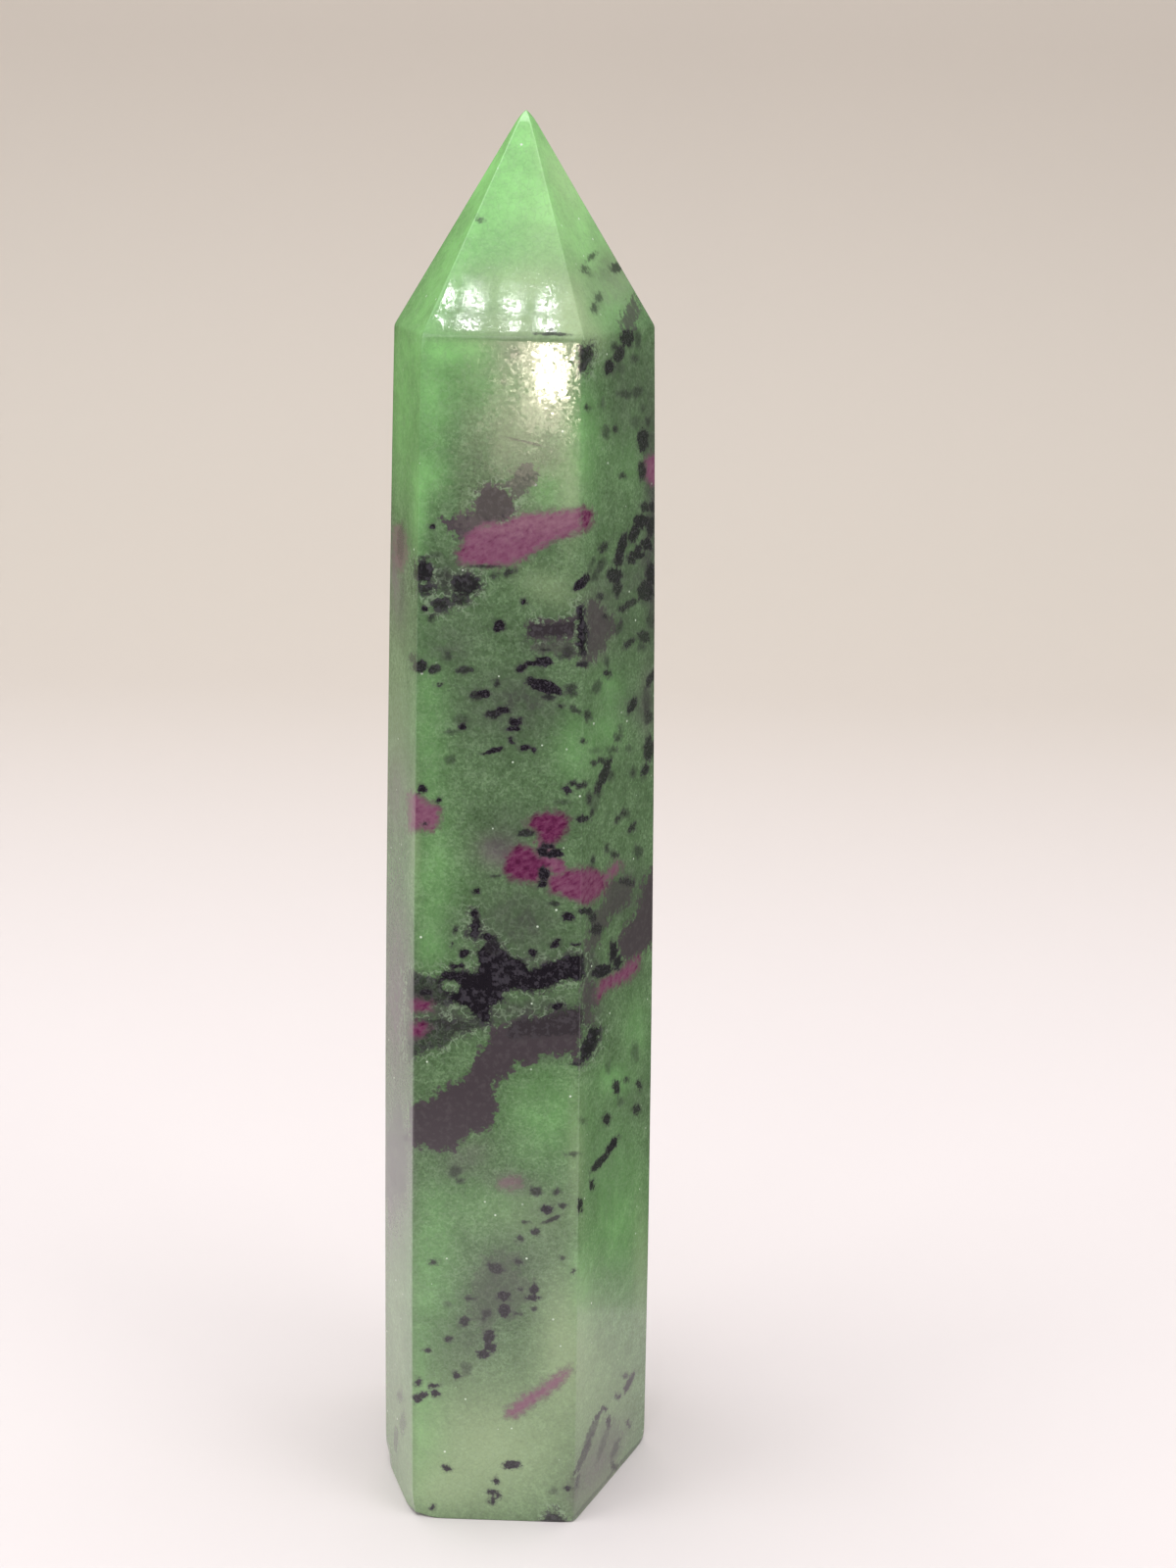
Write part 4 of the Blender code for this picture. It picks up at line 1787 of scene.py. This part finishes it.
@dataclass(frozen=True)
class Flag:
    """A flat card that shows only mirrored in the polish, as the dimmer parts of a room would.

    along and up are two of its edges, from the corner. fade holds two distances up the card
    between which it thickens, from the share named sheer to solid. Over its first hem it
    thickens from nothing, so that its edge isn't seen.
    """

    name: str
    corner: Point3
    along: Point3
    up: Point3
    glow: Colour
    fade: Point2
    sheer: float
    hem: float = 18.0

    def build(self) -> None:
        """Add the card."""
        corner, along, up = (np.array(part) for part in (self.corner, self.along, self.up))
        points = np.array([corner, corner + along, corner + along + up, corner + up])
        mesh = new_mesh(self.name, points, [(0, 1, 2, 3)])
        material, sheet = new_material(self.name)
        way = up / np.linalg.norm(up)
        rise = sheet.measure("DOT_PRODUCT", sheet.place(), tuple(way))
        start, hem, low, high = (
            float(corner @ way + part) * MM for part in (0.0, self.hem, *self.fade)
        )
        cover = sheet.calc("MULTIPLY_ADD", sheet.ramp(rise, low, high), 1 - self.sheer, self.sheer)
        cover = sheet.calc("MULTIPLY", cover, sheet.ramp(rise, start, hem))
        clear = sheet.node("BsdfTransparent").outputs[0]
        solid = sheet.node("Emission", {"Color": self.glow}).outputs[0]
        sheet.show(sheet.node("MixShader", {0: cover, 1: clear, 2: solid}))
        mesh.materials.append(material)
        card = linked(self.name, mesh)
        card.visible_camera = False
        card.visible_diffuse = False
        card.visible_shadow = False


# The room's large lights
LAMPS = (
    Lamp("overhead", (-60.0, -50.0, 900.0), (0.0, 40.0, 0.0), (900.0, 620.0), 3.4),
    Lamp("front", (-260.0, -700.0, 420.0), (0.0, 0.0, 70.0), (500.0, 420.0), 1.0),
    Lamp("right", (700.0, -420.0, 420.0), (0.0, 0.0, 70.0), (420.0, 420.0), 2.8),
    Lamp("left", (-700.0, -300.0, 420.0), (0.0, 0.0, 70.0), (420.0, 420.0), 2.2),
)

# The darker parts of the room, as the polish mirrors them
FLAGS = (
    Flag("right_flag", (10.8, 41.1, 2.0), (44.3, -54.2, 0.0), (0.0, 0.0, 216.0),
         (0.05, 0.07, 0.04), (-2.0, 12.0), 0.25, 2.0),
    Flag("left_flag", (-96.8, 15.1, 1.0), (81.5, 73.8, 0.0), (0.0, 0.0, 238.0),
         (0.13, 0.19, 0.07), (29.0, 104.0), 0.36),
    Flag("front_flag", (-900.0, -55.0, 0.4), (1800.0, 0.0, 0.0), (0.0, -640.0, 0.0),
         (0.02, 0.02, 0.02), (0.0, 75.0), 0.0),
)


@dataclass
class Studio:
    """Pale floor and sweep, soft lights, and the small lights that glint on the polish.

    facet_spots are where the ceiling's spots show mirrored, in the photograph's pixels, and
    window is where the window does. The window is four nested lights, of which window_rings
    gives the width and height in millimetres, the glow, and the shift to the right and down
    in pixels. The small inner one is white, and the larger ones are the sheen round it. The
    floor's colour turns into the wall's between the two depths of wall_blend. The surroundings
    grow brighter over sky_span, by sky_shares of the way back and up.
    """

    form: TowerForm
    view: PhotoView
    floor_colour: Colour = (0.74, 0.685, 0.685)
    wall_colour: Colour = (0.62, 0.56, 0.50)
    wall_blend: Point2 = (60.0, 420.0)
    floor_roughness: float = 0.6
    floor_specular: float = 0.2
    half_width: float = 900.0
    front: float = -700.0
    bend: float = 320.0
    bend_radius: float = 160.0
    bend_rows: int = 25
    wall_top: float = 900.0
    facet_spots: tuple[Point2, ...] = (
        (458, 302), (484, 303), (523, 307), (560, 308),
        (445, 329), (478, 329), (521, 332), (560, 332),
    )
    gold: Colour = (1.0, 0.88, 0.68)
    spot_distance: float = 700.0
    spot_size: float = 3.7
    spot_glow: float = 60.0
    window: Point2 = (571, 369)
    window_rings: tuple[tuple[float, ...], ...] = (
        (9, 19, 60, 2, 0), (17, 38, 5, -8, 12), (32, 56, 1.8, -22, 30), (50, 84, 0.8, -34, 44),
    )
    window_distance: float = 520.0
    window_step: float = 2.0
    window_height: float = 108.0
    sky: Colour = (0.97, 0.98, 1.0)
    sky_shares: Point2 = (0.5, 0.9)
    sky_span: Point2 = (-0.2, 0.8)
    sky_least: float = 0.10
    sky_more: float = 0.75

    def floor(self) -> None:
        """Make the floor: a flat strip that bends up into the wall as a quarter circle."""
        turn = np.linspace(0, math.pi / 2, self.bend_rows)
        foot = self.bend + self.bend_radius
        curve = self.bend + self.bend_radius * np.sin(turn)
        depth = np.concatenate([[self.front, 0.0], curve, [foot]])
        curve = self.bend_radius * (1 - np.cos(turn))
        height = np.concatenate([[0.0, 0.0], curve, [self.wall_top]])
        points = np.zeros((len(depth), 2, 3))
        points[..., 0] = [-self.half_width, self.half_width]
        points[..., 1] = depth[:, None]
        points[..., 2] = height[:, None]
        index = np.arange(2 * len(depth)).reshape(-1, 2)
        quads = np.stack([index[:-1, 0], index[:-1, 1], index[1:, 1], index[1:, 0]], axis=1)
        mesh = new_mesh("floor", points.reshape(-1, 3), quads.tolist())
        mesh.shade_smooth()
        material, sheet = new_material("pale_floor")
        near, far = (part * MM for part in self.wall_blend)
        away = sheet.ramp(sheet.parts(sheet.place())[1], near, far)
        colour = sheet.blend(away, self.floor_colour, self.wall_colour)
        sheet.show(sheet.node("BsdfPrincipled", {
            "Base Color": colour, "Roughness": self.floor_roughness,
            "Specular IOR Level": self.floor_specular,
        }))
        mesh.materials.append(material)
        linked(mesh.name, mesh)

    def mirrored(self, pixel: Point2, normal: Array, reach: float, away: float) -> tuple:
        """Find where a light shows mirrored at a pixel in a flat polished face.

        Args:
            pixel: Where the glint shows.
            normal: The face's outward unit normal.
            reach: The face's distance from the origin along the normal.
            away: How far the light is from the face.

        Returns:
            The light's place and the glint's place, each three numbers.
        """
        ray = self.view.ray(pixel)
        start = np.array(self.view.place)
        hit = start + ray * ((reach - normal @ start) / (normal @ ray))
        bounced = ray - 2 * (ray @ normal) * normal
        return tuple(hit + bounced * away), tuple(hit)

    def glints(self) -> list[Lamp]:
        """The small lights: two rows of ceiling spots, and one window low in front.

        Returns:
            The lamps.
        """
        normal, reach = (part[Side.FRONT.value] for part in self.form.facet_planes())
        lamps = []
        for number, pixel in enumerate(self.facet_spots):
            at, hit = self.mirrored(pixel, normal, reach, self.spot_distance)
            size = (self.spot_size, self.spot_size)
            lamps.append(Lamp(f"spot_{number}", at, hit, size, self.spot_glow))
        top, depth = self.window_height, -self.form.corners[Side.FRONT.value][1]
        lean = (self.form.share(top + 1) - self.form.share(top)) * depth
        flat = np.array([0.0, -1.0, -lean]) / math.hypot(1.0, lean)
        reach = flat @ np.array([0.0, -depth * self.form.share(top) - self.form.inset, top])
        for number, (wide, tall, glow, right, down) in enumerate(self.window_rings):
            pixel = (self.window[0] + right, self.window[1] + down)
            away = self.window_distance + self.window_step * number
            at, hit = self.mirrored(pixel, flat, reach, away)
            lamps.append(Lamp(f"window_{number}", at, hit, (wide, tall), glow, self.gold))
        return lamps

    def surroundings(self) -> None:
        """Light the room evenly, and a little brighter above and behind."""
        world = bpy.data.worlds.new("surroundings")
        world.use_nodes = True
        sheet = Sheet(world.node_tree)
        way = sheet.parts(sheet.node("TexCoord").outputs["Generated"])
        lift = sheet.weighted(*zip(way[1:], self.sky_shares))
        light = sheet.ramp(lift, *self.sky_span)
        glow = sheet.calc("MULTIPLY_ADD", light, self.sky_more, self.sky_least)
        sheet.show(sheet.node("Background", {"Color": self.sky, "Strength": glow}), "World")
        bpy.context.scene.world = world

    def build(self) -> None:
        """Build the floor, the lights, the cards and the surroundings."""
        self.floor()
        lamps = [*LAMPS, *self.glints()]
        for item in (*lamps, *FLAGS):
            item.build()
        self.surroundings()
        log.info("studio: %d lamps and %d cards", len(lamps), len(FLAGS))


def main() -> None:
    """Build the stone, then the studio and the camera round it."""
    logging.basicConfig(level=logging.INFO, format="%(name)s: %(message)s")
    form = TowerForm()
    view = PhotoView()
    grid = SkinGrid(form)
    tower = Tower(form, grid, MineralMap(form, view, Scatter()), ZoisiteFinish())
    tower.dress(tower.build())
    Studio(form, view).build()
    view.add_camera()
    bpy.context.scene.view_settings.view_transform = "Standard"


if __name__ == "__main__":
    main()
